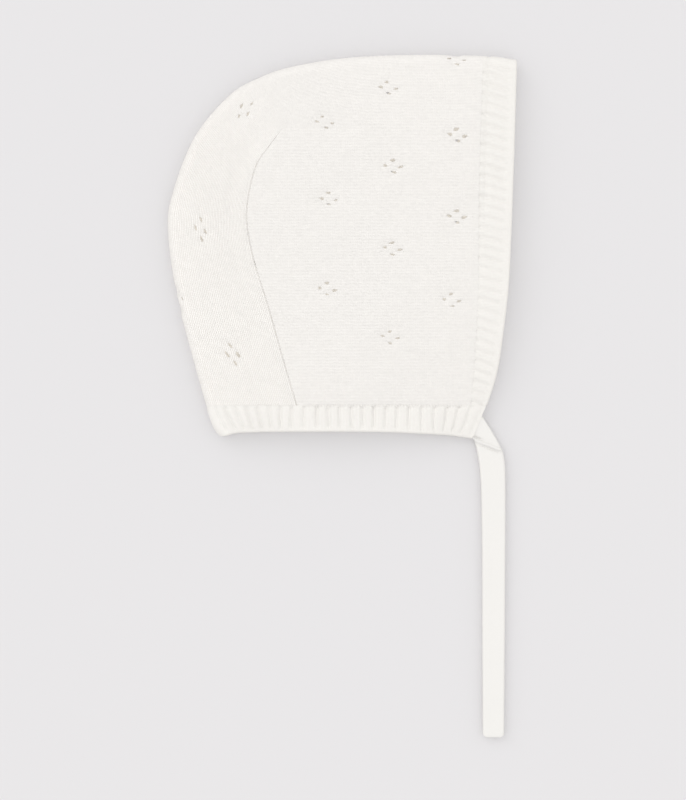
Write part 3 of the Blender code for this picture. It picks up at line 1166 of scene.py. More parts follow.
@dataclass
class NeckBand(RibBand):
    """The band along the neck edge, with deep ribs."""

    name: str = "bonnet_neck_band"
    ribs: tuple[RibPitch, ...] = (
        RibPitch("fold", 0, 3.9),
        RibPitch("nape", 8, 4.4),
        RibPitch("back", 16, 4.9),
        RibPitch("under seam", 36, 5.35),
        RibPitch("beside seam", 46, 5.9),
        RibPitch("under ear", 52, 5.0),
        RibPitch("cheek", 80, 5.1),
        RibPitch("jaw", 98, 6.0),
        RibPitch("corner", 114, 5.2),
    )
    first_groove: float = 5.3 * MM
    seed: int = 11
    middle_width: float = 12.6 * MM
    # Shares of the length: where the fan at the fold ends, and where the corner starts to draw in.
    fan_end: float = 0.35
    draw_start: float = 0.76
    fold_blend: Span = (0, 6 * MM)
    tongue_over: Span = (-14 * MM, -20 * MM)
    wobble: float = 0.22 * MM
    wobble_down: float = 2.9 * MM
    wobble_across: float = 8.0 * MM
    # Where the ribs start, end and get shallower.
    starts_on_tongue: Span = (0, 1.2 * MM)
    starts_on_panels: Span = (-0.2 * MM, 1.2 * MM)
    ends_over: Span = (1.0 * MM, 2.8 * MM)
    corner_slant: float = 0.4
    corner_level: float = -10.0 * MM
    corner_over: Span = (61.5 * MM, 59.5 * MM)
    rib_depth: float = 1.0 * MM
    deepest: Roll = Roll(2.2, 1.0, 0.15)
    less_depth: float = 0.3
    shallows_over: Span = (25 * MM, 50 * MM)
    link_sink: float = 0.28 * MM
    link_over: Span = (2.1 * MM, 1.3 * MM)
    inner_share: float = 0.6
    corner_half: float = 0.85 * MM
    corner_gain: float = 0.25 * MM
    corner_thins_over: Span = (0, 6 * MM)

    def length(self) -> float:
        """Length from the fold to the corner, at the neck line."""
        return FACE_EDGE.points[0, 0] - FOLD.between("neck line", "neck edge")[0, 0] - self.link_reach

    def width(self) -> float:
        """Width in the middle."""
        return self.middle_width

    def place(self, across: Array, share: Array) -> Array:
        """Places on the band's middle surface.

        Args:
            across: Signed distance from the fold along the band.
            share: Share of the band's width, from its linked line to its free edge.

        Returns:
            The places.
        """
        fold = FOLD.between("neck line", "neck edge")
        start = at_share(fold, share)
        depth = self.form.bend_depth(across)
        run = depth / self.length()
        drawn_in = NECK_EDGE.points[-1, 0] - FACE_EDGE.points[0, 0]
        fan = (start[:, 0] - fold[0, 0]) * (1 - eased(run / self.fan_end))
        fan += share * drawn_in * eased((run - self.draw_start) / (1 - self.draw_start))
        x = fold[0, 0] + run * self.length() + fan
        y = (1 - share) * FACE_EDGE.points[0, 1] + share * NECK_EDGE.y_at(x)
        blend = ramp(depth, *self.fold_blend)
        y = start[:, 1] * (1 - blend) + y * blend
        return np.column_stack([x, y, self.form.height(x, y, across >= 0, self.wall)])

    def dress(self, cloth: Cloth, down: Array) -> None:
        """Ribs that end before the corner, a linked edge that sinks, and a bound-off free edge.

        Args:
            cloth: The band's cloth, which is changed.
            down: Distance of each point from the linked line, across the band.
        """
        x, y, _ = cloth.points.T
        across = cloth.knit[:, 0]
        tongue = ramp(x, *self.tongue_over)
        wobble = self.wobble * np.sin(down / self.wobble_down + across / self.wobble_across)
        rib = self.groove_at(np.abs(across) + wobble)
        on_panels = (1 - tongue) * ramp(down, *self.starts_on_panels)
        rib *= tongue * ramp(down, *self.starts_on_tongue) + on_panels
        rib *= ramp(self.width() - down, *self.ends_over)
        rib *= ramp(x - self.corner_slant * (y - self.corner_level), *self.corner_over)
        depth = self.rib_depth + self.deepest.over(down) * (1 - tongue)
        depth *= 1 - self.less_depth * ramp(x, *self.shallows_over)
        link = self.link_sink * ramp(down, *self.link_over) * (1 - tongue) * ramp(x, *GROOVE_END)
        cloth.outward = -depth * rib - link
        cloth.inward = (-self.inner_share * depth * rib - link) * self.form.room(x, y)
        to_end = self.length() - self.form.bend_depth(across)
        thinned = self.corner_half + self.corner_gain * ramp(to_end, *self.corner_thins_over)
        cloth.half = np.minimum(cloth.half, thinned)


class TieSection(NamedTuple):
    """A section across a tie: its inner and outer edge, in millimetres."""

    place: str
    inner_x: float
    inner_y: float
    outer_x: float
    outer_y: float


TIE_SECTIONS = (
    TieSection("sewn end", 58.26, -18.9, 62.60, -8.6),
    TieSection("turn", 58.9, -19.5, 67.3, -16.0),
    TieSection("tuck", 59.4, -20.5, 71.3, -23.2),
    TieSection("below tuck", 60.5, -24.8, 72.6, -27.8),
    TieSection("top", 62.0, -35.8, 73.2, -35.8),
    TieSection("upper", 62.7, -59.8, 73.2, -59.8),
    TieSection("lower", 62.9, -109.6, 72.9, -109.6),
    TieSection("free end", 63.1, -153.1, 72.6, -153.1),
)


@dataclass
class Tuck:
    """The tuck where a tie turns down: a narrow ridge with a crease on each side."""

    height: float
    start: Span = (58.7 * MM, -19.3 * MM)
    end: Span = (71.6 * MM, -24.3 * MM)
    ridge_width: float = 0.85 * MM
    ridge_end: Span = (1.04, 0.92)
    crease_above: Roll = Roll(1.25, 0.36, 1.0)
    above_end: Span = (0.42, 0.12)
    crease_below: Roll = Roll(-1.25, 0.42, 0.75)
    below_start: Span = (0, 0.5)
    below_end: Span = (1.0, 0.9)

    def over(self, plan: Array) -> Array:
        """Height of the tuck over the flat tie.

        Args:
            plan: Places in plan, with x and y in the last axis.

        Returns:
            The height at each place, below 0 in the creases.
        """
        if not self.height:
            return np.zeros(plan.shape[:-1])
        start, run = np.array(self.start), np.subtract(self.end, self.start)
        ahead = unit(run)
        share = (plan - start) @ ahead / np.linalg.norm(run)
        aside = (plan - start) @ (-ahead[1], ahead[0])
        ridge = self.height * bell(aside, self.ridge_width) * ramp(share, *self.ridge_end)
        above = self.crease_above.over(aside) * ramp(share, *self.above_end)
        below = self.crease_below.over(aside) * ramp(share, *self.below_start) * ramp(share, *self.below_end)
        return ridge - above - below


@dataclass
class Tie:
    """A flat knitted tie that turns down at the corner and lies straight to its rounded end."""

    name: str
    level: float
    tuck: Tuck
    root_share: float = 1.0
    root_over: Span = (4 * MM, 0)
    wall: float = 2.0 * MM
    dish: float = 0.12 * MM
    end_radius: float = 1.8 * MM
    end_turns: tuple[float, ...] = (20, 40, 60, 75, 86)
    end_share: float = 0.35
    end_power: float = 0.7
    fine_length: float = 13.0 * MM
    fine_step: float = 0.28 * MM
    step: float = 0.8 * MM
    edge_share: float = 0.16
    edge_points: int = 7
    across: int = 14
    side_share: float = 0.35
    knit_shift: float = 0.5 * MM

    def build(self) -> bpy.types.Object:
        """Makes the tie as a flattened tube.

        Returns:
            The tie's object.
        """
        inner, outer, squeeze = self.edges()
        middle, half = 0.5 * (inner + outer), 0.5 * (outer - inner)
        wide, thick = self.section()
        plan = middle[:, None] + half[:, None] * wide[:, None]
        tuck = self.tuck.over(plan)
        top = np.clip(thick, 0, 1)
        height = self.level + 0.5 * self.wall * squeeze[:, None] * thick - self.dish * (1 - wide**2) * top
        height += np.maximum(tuck, 0) * np.maximum(thick, self.side_share) + np.minimum(tuck, 0) * top
        points = np.concatenate([plan, height[..., None]], axis=-1).reshape(-1, 3)
        spread = np.linalg.norm(half, axis=1)[:, None] * wide + self.knit_shift
        travel = np.broadcast_to(-lengths_along(middle)[:, None], spread.shape)
        knit = np.stack([spread, travel], axis=-1).reshape(-1, 2)
        return mesh_object(self.name, points, tube_faces(len(inner), len(wide)), knit)

    def section(self) -> tuple[Array, Array]:
        """Points round the tie's flat section, as shares of its half width and half thickness.

        Returns:
            Shares across and through, anticlockwise from the lower end of the outer edge.
        """
        turn = np.radians(np.linspace(-90, 90, self.edge_points))
        level = 1 - self.edge_share
        flat = np.linspace(level, -level, self.across + 1)[1:-1]
        wide = np.concatenate([level + self.edge_share * np.cos(turn), flat])
        thick = np.concatenate([np.sin(turn), np.ones(len(flat))])
        return np.concatenate([wide, -wide]), np.concatenate([thick, -thick])

    def edges(self) -> tuple[Array, Array, Array]:
        """Both edges of the tie, row by row from the sewn end to the rounded end.

        Returns:
            Inner and outer edge points of the rows, and how thick each row still is.
        """
        inner = Outline(*[(section.place, *section[1:3]) for section in TIE_SECTIONS]).points
        outer = Outline(*[(section.place, *section[3:]) for section in TIE_SECTIONS]).points
        lengths = lengths_along(0.5 * (inner + outer))
        end = lengths[-1]
        turn = np.radians(self.end_turns)
        count = round((end - self.end_radius - self.fine_length) / self.step)
        plain = np.linspace(self.fine_length, end - self.end_radius, count)
        straight = np.concatenate([np.arange(0, self.fine_length, self.fine_step), plain])
        wanted = np.append(straight, end - self.end_radius * (1 - np.sin(turn)))
        pull = np.append(np.zeros(len(straight)), self.end_radius * (1 - np.cos(turn)))[:, None]
        thinning = self.end_share + (1 - self.end_share) * np.cos(turn) ** self.end_power
        squeeze = np.append(np.ones(len(straight)), thinning)
        squeeze += (self.root_share - 1) * ramp(wanted, *self.root_over)
        inner, outer = at_lengths(inner, lengths, wanted), at_lengths(outer, lengths, wanted)
        way = unit(outer - inner)
        return inner + way * pull, outer - way * pull, squeeze


@dataclass
class LinkStitches:
    """A row of small loops of yarn that join two edges."""

    name: str
    yarn_radius: float = 0.26 * MM
    end_share: float = 0.45
    rise: float = 0.16 * MM
    travel: float = 1.2 * MM
    rings: int = 7
    sides: int = 6

    def build(self, starts: Array, ends: Array, normals: Array) -> bpy.types.Object:
        """Makes one mesh of all the loops.

        Args:
            starts: Where each loop comes out.
            ends: Where each loop goes in again.
            normals: Which way the cloth faces there.

        Returns:
            The loops' object.
        """
        share = np.linspace(0, 1, self.rings)[:, None]
        angle = np.linspace(0, 2 * math.pi, self.sides, endpoint=False)
        arch = np.sin(math.pi * share)
        thickness = self.yarn_radius * (self.end_share + (1 - self.end_share) * arch**0.5)
        points = []
        for start, end, normal in zip(starts, ends, normals):
            side = np.cross(normal, unit(end - start))
            spine = start + (end - start) * share + normal * self.rise * (2 * arch - 1)
            circle = np.cos(angle)[:, None] * side + np.sin(angle)[:, None] * normal
            points.append((spine[:, None] + circle * thickness[:, None]).reshape(-1, 3))
        tube = tube_faces(self.rings, self.sides)
        bases = range(0, len(points) * self.rings * self.sides, self.rings * self.sides)
        faces = [tuple(base + corner for corner in face) for base in bases for face in tube]
        spread = np.broadcast_to(angle * self.yarn_radius, (self.rings, self.sides))
        travel = np.broadcast_to(share * self.travel, (self.rings, self.sides))
        knit = np.tile(np.stack([spread, travel], axis=-1).reshape(-1, 2), (len(points), 1))
        return mesh_object(self.name, np.vstack(points), faces, knit)


class LinkRow(NamedTuple):
    """A row of loops: its line in plan, reach and lift, and how every first and second loop leans."""

    loops: LinkStitches
    line: Array
    reach: float
    lift: float
    leans: Span


@dataclass
class Linking:
    """The rows of loops that join the pieces: front band, neck band and the two back seams."""

    form: FoldedForm
    pitch: float = 1.3 * MM
    underside_drop: float = 0.12 * MM
    slope_step: float = 0.2 * MM
    share_step: float = 0.002
    front_top: float = 147.0 * MM
    seam_top: float = 108.0 * MM
    neck_level: float = -4.3 * MM
    neck_ends: Span = (-18.0 * MM, 55.0 * MM)

    def surface(self, place: Array, upper: bool, lift: float) -> tuple[Array, Array]:
        """Places on the outer face of the body's cloth, and which way it faces there.

        Args:
            place: Places in plan.
            upper: True for the upper side.
            lift: How far over the cloth's middle surface.

        Returns:
            The places and their unit normals.
        """

        def height(right: float, up: float) -> Array:
            """Height of the middle surface this far from the places."""
            x, y = (place + (right, up)).T
            return self.form.height(x, y, np.full(len(place), upper), BODY_WALL)

        step = self.slope_step
        slopes = [height(-step, 0) - height(step, 0), height(0, -step) - height(0, step)]
        way = 1 if upper else -1
        normal = way * unit(np.column_stack([*slopes, np.full(len(place), 2 * step)]))
        return np.column_stack([place, height(0, 0)]) + normal * lift, normal

    def row(self, row: LinkRow) -> bpy.types.Object:
        """Makes the loops across a line, on both sides of the bonnet.

        Args:
            row: The line and its loops.

        Returns:
            The loops' object.
        """
        count = int(lengths_along(row.line)[-1] / self.pitch)
        share = (np.arange(count) + 0.5) / count
        spots = at_share(row.line, share)
        before, after = (at_share(row.line, share + step) for step in (-self.share_step, self.share_step))
        ahead = unit(after - before)
        aside = np.column_stack([-ahead[:, 1], ahead[:, 0]])
        reach = aside * row.reach + ahead * np.resize(row.leans, count)[:, None]
        sides = []
        for upper in (True, False):
            lift = row.lift if upper else row.lift - self.underside_drop
            start, normal = self.surface(spots - reach, upper, lift)
            end, _ = self.surface(spots + reach, upper, lift)
            sides.append((start, end, normal))
        return row.loops.build(*np.concatenate(sides, axis=1))

    def build(self) -> list[bpy.types.Object]:
        """Makes the loops of each join.

        Returns:
            Front linking, neck linking and back seams.
        """
        front = BAND_LINE.points[BAND_LINE.points[:, 1] < self.front_top]
        seam = SEAM.points[SEAM.points[:, 1] < self.seam_top]
        neck = np.array([(end, self.neck_level) for end in self.neck_ends])
        front_loops = LinkStitches("bonnet_front_linking", yarn_radius=0.2 * MM)
        neck_loops = LinkStitches("bonnet_neck_linking", yarn_radius=0.3 * MM)
        seam_loops = LinkStitches("bonnet_back_seams")
        rows = (
            LinkRow(front_loops, front, 0.5 * MM, 0.5 * MM, (0, 0)),
            LinkRow(neck_loops, neck, 0.95 * MM, 0.3 * MM, (0.42 * MM, -0.42 * MM)),
            LinkRow(seam_loops, seam, 0.55 * MM, 0.38 * MM, (0.15 * MM, 0.15 * MM)),
        )
        return [self.row(row) for row in rows]


class StitchFace(Enum):
    """Which face of the knitting shows."""

    KNIT = 0.0
    PURL = 1.0


class NodeBoard:
    """Adds and links nodes in one node tree."""

    def __init__(self, tree: bpy.types.NodeTree) -> None:
        """Works in this tree."""
        self.tree = tree

    def add(self, kind: str, **settings: object) -> bpy.types.Node:
        """Adds a node.

        Args:
            kind: Its type, without the usual first word.
            settings: Its settings.

        Returns:
            The node.
        """
        node = self.tree.nodes.new(f"ShaderNode{kind}")
        for key, value in settings.items():
            setattr(node, key, value)
        return node

    def wire(self, value: Socket | float, socket: Socket) -> None:
        """Gives a socket its value.

        Args:
            value: A socket to link to it, or a plain value to set.
            socket: The socket.
        """
        if isinstance(value, Socket):
            self.tree.links.new(value, socket)
        else:
            socket.default_value = value

    def maths(self, operation: str, *values: Socket | float) -> Socket:
        """Adds a Math node.

        Args:
            operation: Its operation.
            values: Its inputs, sockets or numbers.

        Returns:
            Its output.
        """
        node = self.add("Math", operation=operation)
        for value, socket in zip(values, node.inputs):
            self.wire(value, socket)
        return node.outputs[0]

    def plus(self, first: Socket | float, second: Socket | float) -> Socket:
        """Adds two values."""
        return self.maths("ADD", first, second)

    def minus(self, first: Socket | float, second: Socket | float) -> Socket:
        """Takes the second value from the first."""
        return self.maths("SUBTRACT", first, second)

    def times(self, first: Socket | float, second: Socket | float) -> Socket:
        """Multiplies two values."""
        return self.maths("MULTIPLY", first, second)

    def absolute(self, value: Socket) -> Socket:
        """A value without its sign."""
        return self.maths("ABSOLUTE", value)

    def ramp(self, value: Socket, start: float, end: float) -> Socket:
        """Goes smoothly from 0 to 1 as a value goes from start to end.

        Args:
            value: The value.
            start: Where it begins to rise from 0.
            end: Where it comes to 1.

        Returns:
            A socket with the share.
        """
        node = self.add("MapRange", interpolation_type="SMOOTHSTEP")
        for key, number in (("Value", value), ("From Min", start), ("From Max", end)):
            self.wire(number, node.inputs[key])
        return node.outputs["Result"]

    def wave(self, turns: Socket, height: float) -> Socket:
        """A cosine wave of this height, over whole turns."""
        return self.times(self.maths("COSINE", self.times(turns, 2 * math.pi)), height)

    def rounded(self, share: Socket) -> Socket:
        """Height of a round yarn at a share of its half width, from 1 in its middle to 0 at its edge."""
        return self.maths("SQRT", self.maths("MAXIMUM", self.minus(1.0, self.times(share, share)), 0.0))

    def pair(self, first: Socket, second: Socket) -> Socket:
        """Joins two values into a vector.

        Args:
            first: The first.
            second: The second.

        Returns:
            A socket with the vector.
        """
        node = self.add("CombineXYZ")
        self.wire(first, node.inputs[0])
        self.wire(second, node.inputs[1])
        return node.outputs[0]


def shader_group(
    name: str, inputs: dict[str, float], outputs: tuple[str, ...]
) -> tuple[NodeBoard, dict[str, Socket], dict[str, Socket]]:
    """Starts a shader node group with plain number sockets.

    Args:
        name: Name of the group.
        inputs: Its inputs and their defaults.
        outputs: Its outputs.

    Returns:
        A board to build it on, its inputs as sockets, and its outputs as sockets.
    """
    tree = bpy.data.node_groups.new(name, "ShaderNodeTree")
    for key, value in inputs.items():
        tree.interface.new_socket(key, in_out="INPUT", socket_type="NodeSocketFloat").default_value = value
    for key in outputs:
        tree.interface.new_socket(key, in_out="OUTPUT", socket_type="NodeSocketFloat")
    source = tree.nodes.new("NodeGroupInput")
    result = tree.nodes.new("NodeGroupOutput")
    board = NodeBoard(tree)
    return board, {key: source.outputs[key] for key in inputs}, {key: result.inputs[key] for key in outputs}


@dataclass(frozen=True)
class StitchRelief:
    """Relief of plain knitting: slanted legs on the knit side, wavy rows on the purl side."""

    wale_width: float = 1.3 * MM
    row_height: float = 1.0 * MM
    waver: float = 0.1
    wander_scale: float = 260.0
    wander_detail: float = 2.0
    wale_wander: float = 4.0
    row_wander: float = 6.0
    leg_slant: float = 1.1
    leg_end: float = 0.45
    row_sway: float = 0.3
    gap_shade_power: float = 2.0

    def group(self) -> bpy.types.NodeTree:
        """Makes the node group.

        Returns:
            A group with Height, a gap mask for painted shade between the stitches, and Stitch Tone, from
            knit coordinates in metres.
        """
        inputs = {
            "Across": 0.0,
            "Along": 0.0,
            "Wale Width": self.wale_width,
            "Row Height": self.row_height,
            "Waver": self.waver,
            "Purl": 0.0,
        }
        board, given, result = shader_group("Stitch relief", inputs, ("Height", "Gap Shade", "Stitch Tone"))
        maths, plus, minus, times = board.maths, board.plus, board.minus, board.times
        wander = board.add("TexNoise", noise_dimensions="2D")
        board.wire(board.pair(given["Across"], given["Along"]), wander.inputs["Vector"])
        board.wire(self.wander_scale, wander.inputs["Scale"])
        board.wire(self.wander_detail, wander.inputs["Detail"])
        drift = times(minus(wander.outputs[0], 0.5), given["Waver"])
        wale = plus(maths("DIVIDE", given["Across"], given["Wale Width"]), times(drift, self.wale_wander))
        row = plus(maths("DIVIDE", given["Along"], given["Row Height"]), times(drift, self.row_wander))
        column = maths("FLOOR", wale)
        aside = board.absolute(minus(minus(wale, column), 0.5))
        leg_phase = plus(row, times(aside, self.leg_slant))
        leg = maths("FLOOR", leg_phase)
        along_leg = times(minus(minus(leg_phase, leg), 0.5), 2.0)
        across_leg = times(minus(aside, 0.25), 4.0)
        round_across, round_along = board.rounded(across_leg), board.rounded(along_leg)
        knit = times(round_across, plus(self.leg_end, times(round_along, 1 - self.leg_end)))
        purl = plus(0.5, board.wave(plus(row, board.wave(wale, self.row_sway)), 0.5))
        share = given["Purl"]
        height = plus(times(knit, minus(1.0, share)), times(purl, share))
        board.wire(height, result["Height"])
        # The gap mask for painted shade: strongest where the stitches' relief is lowest.
        board.wire(maths("POWER", minus(1.0, height), self.gap_shade_power), result["Gap Shade"])
        stitch = board.pair(column, leg)
        chance = board.add("TexWhiteNoise", noise_dimensions="2D")
        board.wire(stitch, chance.inputs["Vector"])
        board.wire(minus(chance.outputs["Value"], 0.5), result["Stitch Tone"])
        return board.tree


@dataclass(frozen=True)
class YarnMottle:
    """Slow changes of tone over the cloth, and the fine fuzz of cotton fibres."""

    patch_size: float = 18.0 * MM
    patch_detail: float = 2.0
    fuzz_size: float = 0.35 * MM
    fuzz_detail: float = 3.0

    def group(self) -> bpy.types.NodeTree:
        """Makes the node group.

        Returns:
            A group with Tone, from -0.5 to 0.5, and Fuzz, from 0 to 1.
        """
        inputs = {"Patch Size": self.patch_size, "Fuzz Size": self.fuzz_size}
        board, given, result = shader_group("Yarn mottle", inputs, ("Tone", "Fuzz"))
        place = board.add("TexCoord").outputs["Object"]
        patches = self.noise(board, place, given["Patch Size"], self.patch_detail)
        board.wire(board.minus(patches, 0.5), result["Tone"])
        board.wire(self.noise(board, place, given["Fuzz Size"], self.fuzz_detail), result["Fuzz"])
        return board.tree

    def noise(self, board: NodeBoard, place: Socket, size: Socket, detail: float) -> Socket:
        """Adds noise of one size.

        Args:
            board: The group's board.
            place: Where in the cloth.
            size: Size of the noise's patches.
            detail: How many finer layers it has.

        Returns:
            A socket with the noise, from 0 to 1.
        """
        noise = board.add("TexNoise")
        board.wire(place, noise.inputs["Vector"])
        board.wire(board.maths("DIVIDE", 1.0, size), noise.inputs["Scale"])
        board.wire(detail, noise.inputs["Detail"])
        return noise.outputs[0]


class YarnGroups(NamedTuple):
    """The node groups that every knitted finish uses."""

    relief: bpy.types.NodeTree
    mottle: bpy.types.NodeTree


@dataclass(frozen=True)
class Patch:
    """A part of the crown strip and tongue, by how it comes and goes across and along the wales."""

    aside: Span
    begun: Span
    fading: Span

    def share(self, board: NodeBoard, knit: bpy.types.Node) -> Socket:
        """Share from 0 to 1 for how far each place is in the patch.

        Args:
            board: The material's board.
            knit: The node with the distances across and along the wales.

        Returns:
            A socket with the share.
        """
        aside = board.ramp(board.absolute(knit.outputs[0]), *self.aside)
        begun = board.ramp(knit.outputs[1], *self.begun)
        fading = board.ramp(knit.outputs[1], *self.fading)
        return board.times(board.times(board.times(aside, begun), fading), within_strip(board, knit))


# Painted light: the part of the tongue beside the back seams whose tone is lightened.
PAINTED_LIGHT_BESIDE_SEAM = Patch((STRIP_WIDTH - 8 * MM, STRIP_WIDTH - MM), (-28 * MM, -45 * MM), (-170 * MM, -60 * MM))
SQUEEZED_CROWN = Patch((-8 * MM, 18 * MM), (-4 * MM, -26 * MM), (-90 * MM, -48 * MM))
TONGUE_BEGUN = (-15 * MM, -75 * MM)


def within_strip(board: NodeBoard, knit: bpy.types.Node) -> Socket:
    """1 on the crown strip and the tongue, 0 on the panels."""
    return board.maths("LESS_THAN", board.absolute(knit.outputs[0]), TONGUE_HALF_WIDTH)


class ClothNodes(NamedTuple):
    """The nodes that a cloth's material is worked out from."""

    board: NodeBoard
    shader: bpy.types.Node
    knit: bpy.types.Node
    stitches: bpy.types.Node
    yarn: bpy.types.Node
    tongue: Socket


@dataclass(frozen=True)
class KnitFinish:
    """The finish of one kind of knitting in off-white cotton."""

    name: str
    colour: tuple[float, float, float] = (0.93, 0.905, 0.865)
    # Painted shade: the darker colour that the gaps between stitches take.
    gap_shade_colour: tuple[float, float, float] = (0.86, 0.82, 0.75)
    wale_width: float = 1.3 * MM
    row_height: float = 1.0 * MM
    waver: float = 0.1
    relief: float = 0.17 * MM
    gap_shade_share: float = 0.6
    stitch_tone: float = 0.025
    yarn_tone: float = 0.018
    # On the tongue: deeper relief, more painted shade in the gaps and painted light over it; painted light
    # beside the back seams; shallower relief on the squeezed crown.
    tongue_depth: float = 0.0
    tongue_gap_shade: float = 0.0
    tongue_painted_light: float = 0.0
    seam_painted_light: float = 0.0
    squeezed_fade: float = 0.0
    fuzz: float = 0.04 * MM
    roughness: float = 0.92
    fuzz_roughness: float = 0.06
    specular: float = 0.25
    sheen: float = 0.15
    sheen_roughness: float = 0.6
    porosity: float = 0.67

    def material(self, groups: YarnGroups, face: StitchFace) -> bpy.types.Material:
        """Makes the material.

        Args:
            groups: The yarn's node groups.
            face: Which face of the knitting shows.

        Returns:
            The material.
        """
        material = bpy.data.materials.new(f"{self.name}, {face.name.lower()}")
        material.use_nodes = True
        board = NodeBoard(material.node_tree)
        knit = board.add("SeparateXYZ")
        board.wire(board.add("UVMap", uv_map="Knit").outputs[0], knit.inputs[0])
        stitches = board.add("Group", node_tree=groups.relief)
        given = (*knit.outputs[:2], self.wale_width, self.row_height, self.waver, face.value)
        for value, socket in zip(given, stitches.inputs):
            board.wire(value, socket)
        yarn = board.add("Group", node_tree=groups.mottle)
        tongue = board.times(board.ramp(knit.outputs[1], *TONGUE_BEGUN), within_strip(board, knit))
        shader = board.tree.nodes["Principled BSDF"]
        nodes = ClothNodes(board, shader, knit, stitches, yarn, tongue)
        self.colour_yarn(nodes)
        self.raise_stitches(nodes)
        self.let_light_through(nodes)
        return material

    def colour_yarn(self, nodes: ClothNodes) -> None:
        """Gives the cloth its colour, with painted shade in the gaps between stitches, painted light on the
        tongue and beside the back seams, random changes of tone and its dull shine.

        Args:
            nodes: The material's nodes.
        """
        board, shader, knit, stitches, yarn, tongue = nodes
        plus, times = board.plus, board.times
        # Painted shade: the colour darkens towards the gap colour between stitches, more so on the tongue.
        colour = board.add("Mix", data_type="RGBA")
        gap = plus(self.gap_shade_share, times(tongue, self.tongue_gap_shade))
        board.wire(times(stitches.outputs["Gap Shade"], gap), colour.inputs["Factor"])
        board.wire((*self.colour, 1), colour.inputs["A"])
        board.wire((*self.gap_shade_colour, 1), colour.inputs["B"])
        tone = times(stitches.outputs["Stitch Tone"], self.stitch_tone)
        # Painted light: a lighter tone over the tongue and beside the back seams.
        tone = plus(tone, times(tongue, self.tongue_painted_light))
        tone = plus(tone, times(PAINTED_LIGHT_BESIDE_SEAM.share(board, knit), self.seam_painted_light))
        tone = plus(tone, times(yarn.outputs["Tone"], self.yarn_tone))
        tint = board.add("HueSaturation")
        board.wire(plus(1.0, tone), tint.inputs["Value"])
        board.wire(colour.outputs["Result"], tint.inputs["Color"])
        rough = plus(self.roughness, times(yarn.outputs["Fuzz"], self.fuzz_roughness))
        for key, value in (
            ("Base Color", tint.outputs[0]),
            ("Roughness", rough),
            ("Sheen Weight", self.sheen),
            ("Sheen Roughness", self.sheen_roughness),
            ("Specular IOR Level", self.specular),
        ):
            board.wire(value, shader.inputs[key])

    def raise_stitches(self, nodes: ClothNodes) -> None:
        """Gives the cloth the relief of its stitches, with the yarn's fuzz over it.

        Args:
            nodes: The material's nodes.
        """
        board, shader, knit, stitches, yarn, tongue = nodes
        stitch_bump = board.add("Bump")
        depth = board.plus(1.0, board.times(tongue, self.tongue_depth))
        depth = board.minus(depth, board.times(SQUEEZED_CROWN.share(board, knit), self.squeezed_fade))
        board.wire(self.relief, stitch_bump.inputs["Distance"])
        board.wire(board.times(stitches.outputs["Height"], depth), stitch_bump.inputs["Height"])
        fuzz_bump = board.add("Bump")
        board.wire(self.fuzz, fuzz_bump.inputs["Distance"])
        board.wire(yarn.outputs["Fuzz"], fuzz_bump.inputs["Height"])
        board.wire(stitch_bump.outputs[0], fuzz_bump.inputs["Normal"])
        board.wire(fuzz_bump.outputs[0], shader.inputs["Normal"])

    def let_light_through(self, nodes: ClothNodes) -> None:
        """Lets some light through the cloth's pores, which the camera doesn't see.

        Args:
            nodes: The material's nodes.
        """
        board, shader = nodes.board, nodes.shader
        porous = board.add("MixShader")
        clear = board.add("BsdfTransparent")
        seen = board.add("MixShader")
        camera_ray = board.add("LightPath").outputs["Is Camera Ray"]
        for mix, inputs in (
            (porous, (self.porosity, shader.outputs[0], clear.outputs[0])),
            (seen, (camera_ray, porous.outputs[0], shader.outputs[0])),
        ):
            for value, socket in zip(inputs, mix.inputs):
                board.wire(value, socket)
        board.wire(seen.outputs[0], board.tree.nodes["Material Output"].inputs["Surface"])


# The outer face: its tongue gets more painted shade in the gaps and painted light, and the tongue beside the
# back seams gets more painted light.
JERSEY = KnitFinish(
    "cotton jersey",
    colour=(0.879, 0.854, 0.823),
    gap_shade_colour=(0.80, 0.765, 0.71),
    stitch_tone=0.03,
    porosity=0.72,
    tongue_depth=0.45,
    tongue_gap_shade=1.6,
    tongue_painted_light=0.056,
    seam_painted_light=0.026,
    squeezed_fade=0.11,
)
# The inner face is painted lighter and warmer than the outer: painted light for the light that passes into
# the hollow and shows through the eyelets.
LIT_JERSEY_BACK = KnitFinish("cotton jersey", colour=(0.975, 0.925, 0.845), porosity=0.72)
RIB = KnitFinish(
    "cotton rib", colour=(0.868, 0.846, 0.810), relief=0.14 * MM, gap_shade_share=0.45, stitch_tone=0.015
)
TAPE = KnitFinish(
    "cotton tie knit",
    colour=(0.801, 0.785, 0.758),
    wale_width=1.15 * MM,
    row_height=0.9 * MM,
    relief=0.018 * MM,
    gap_shade_share=0.05,
    stitch_tone=0.006,
)


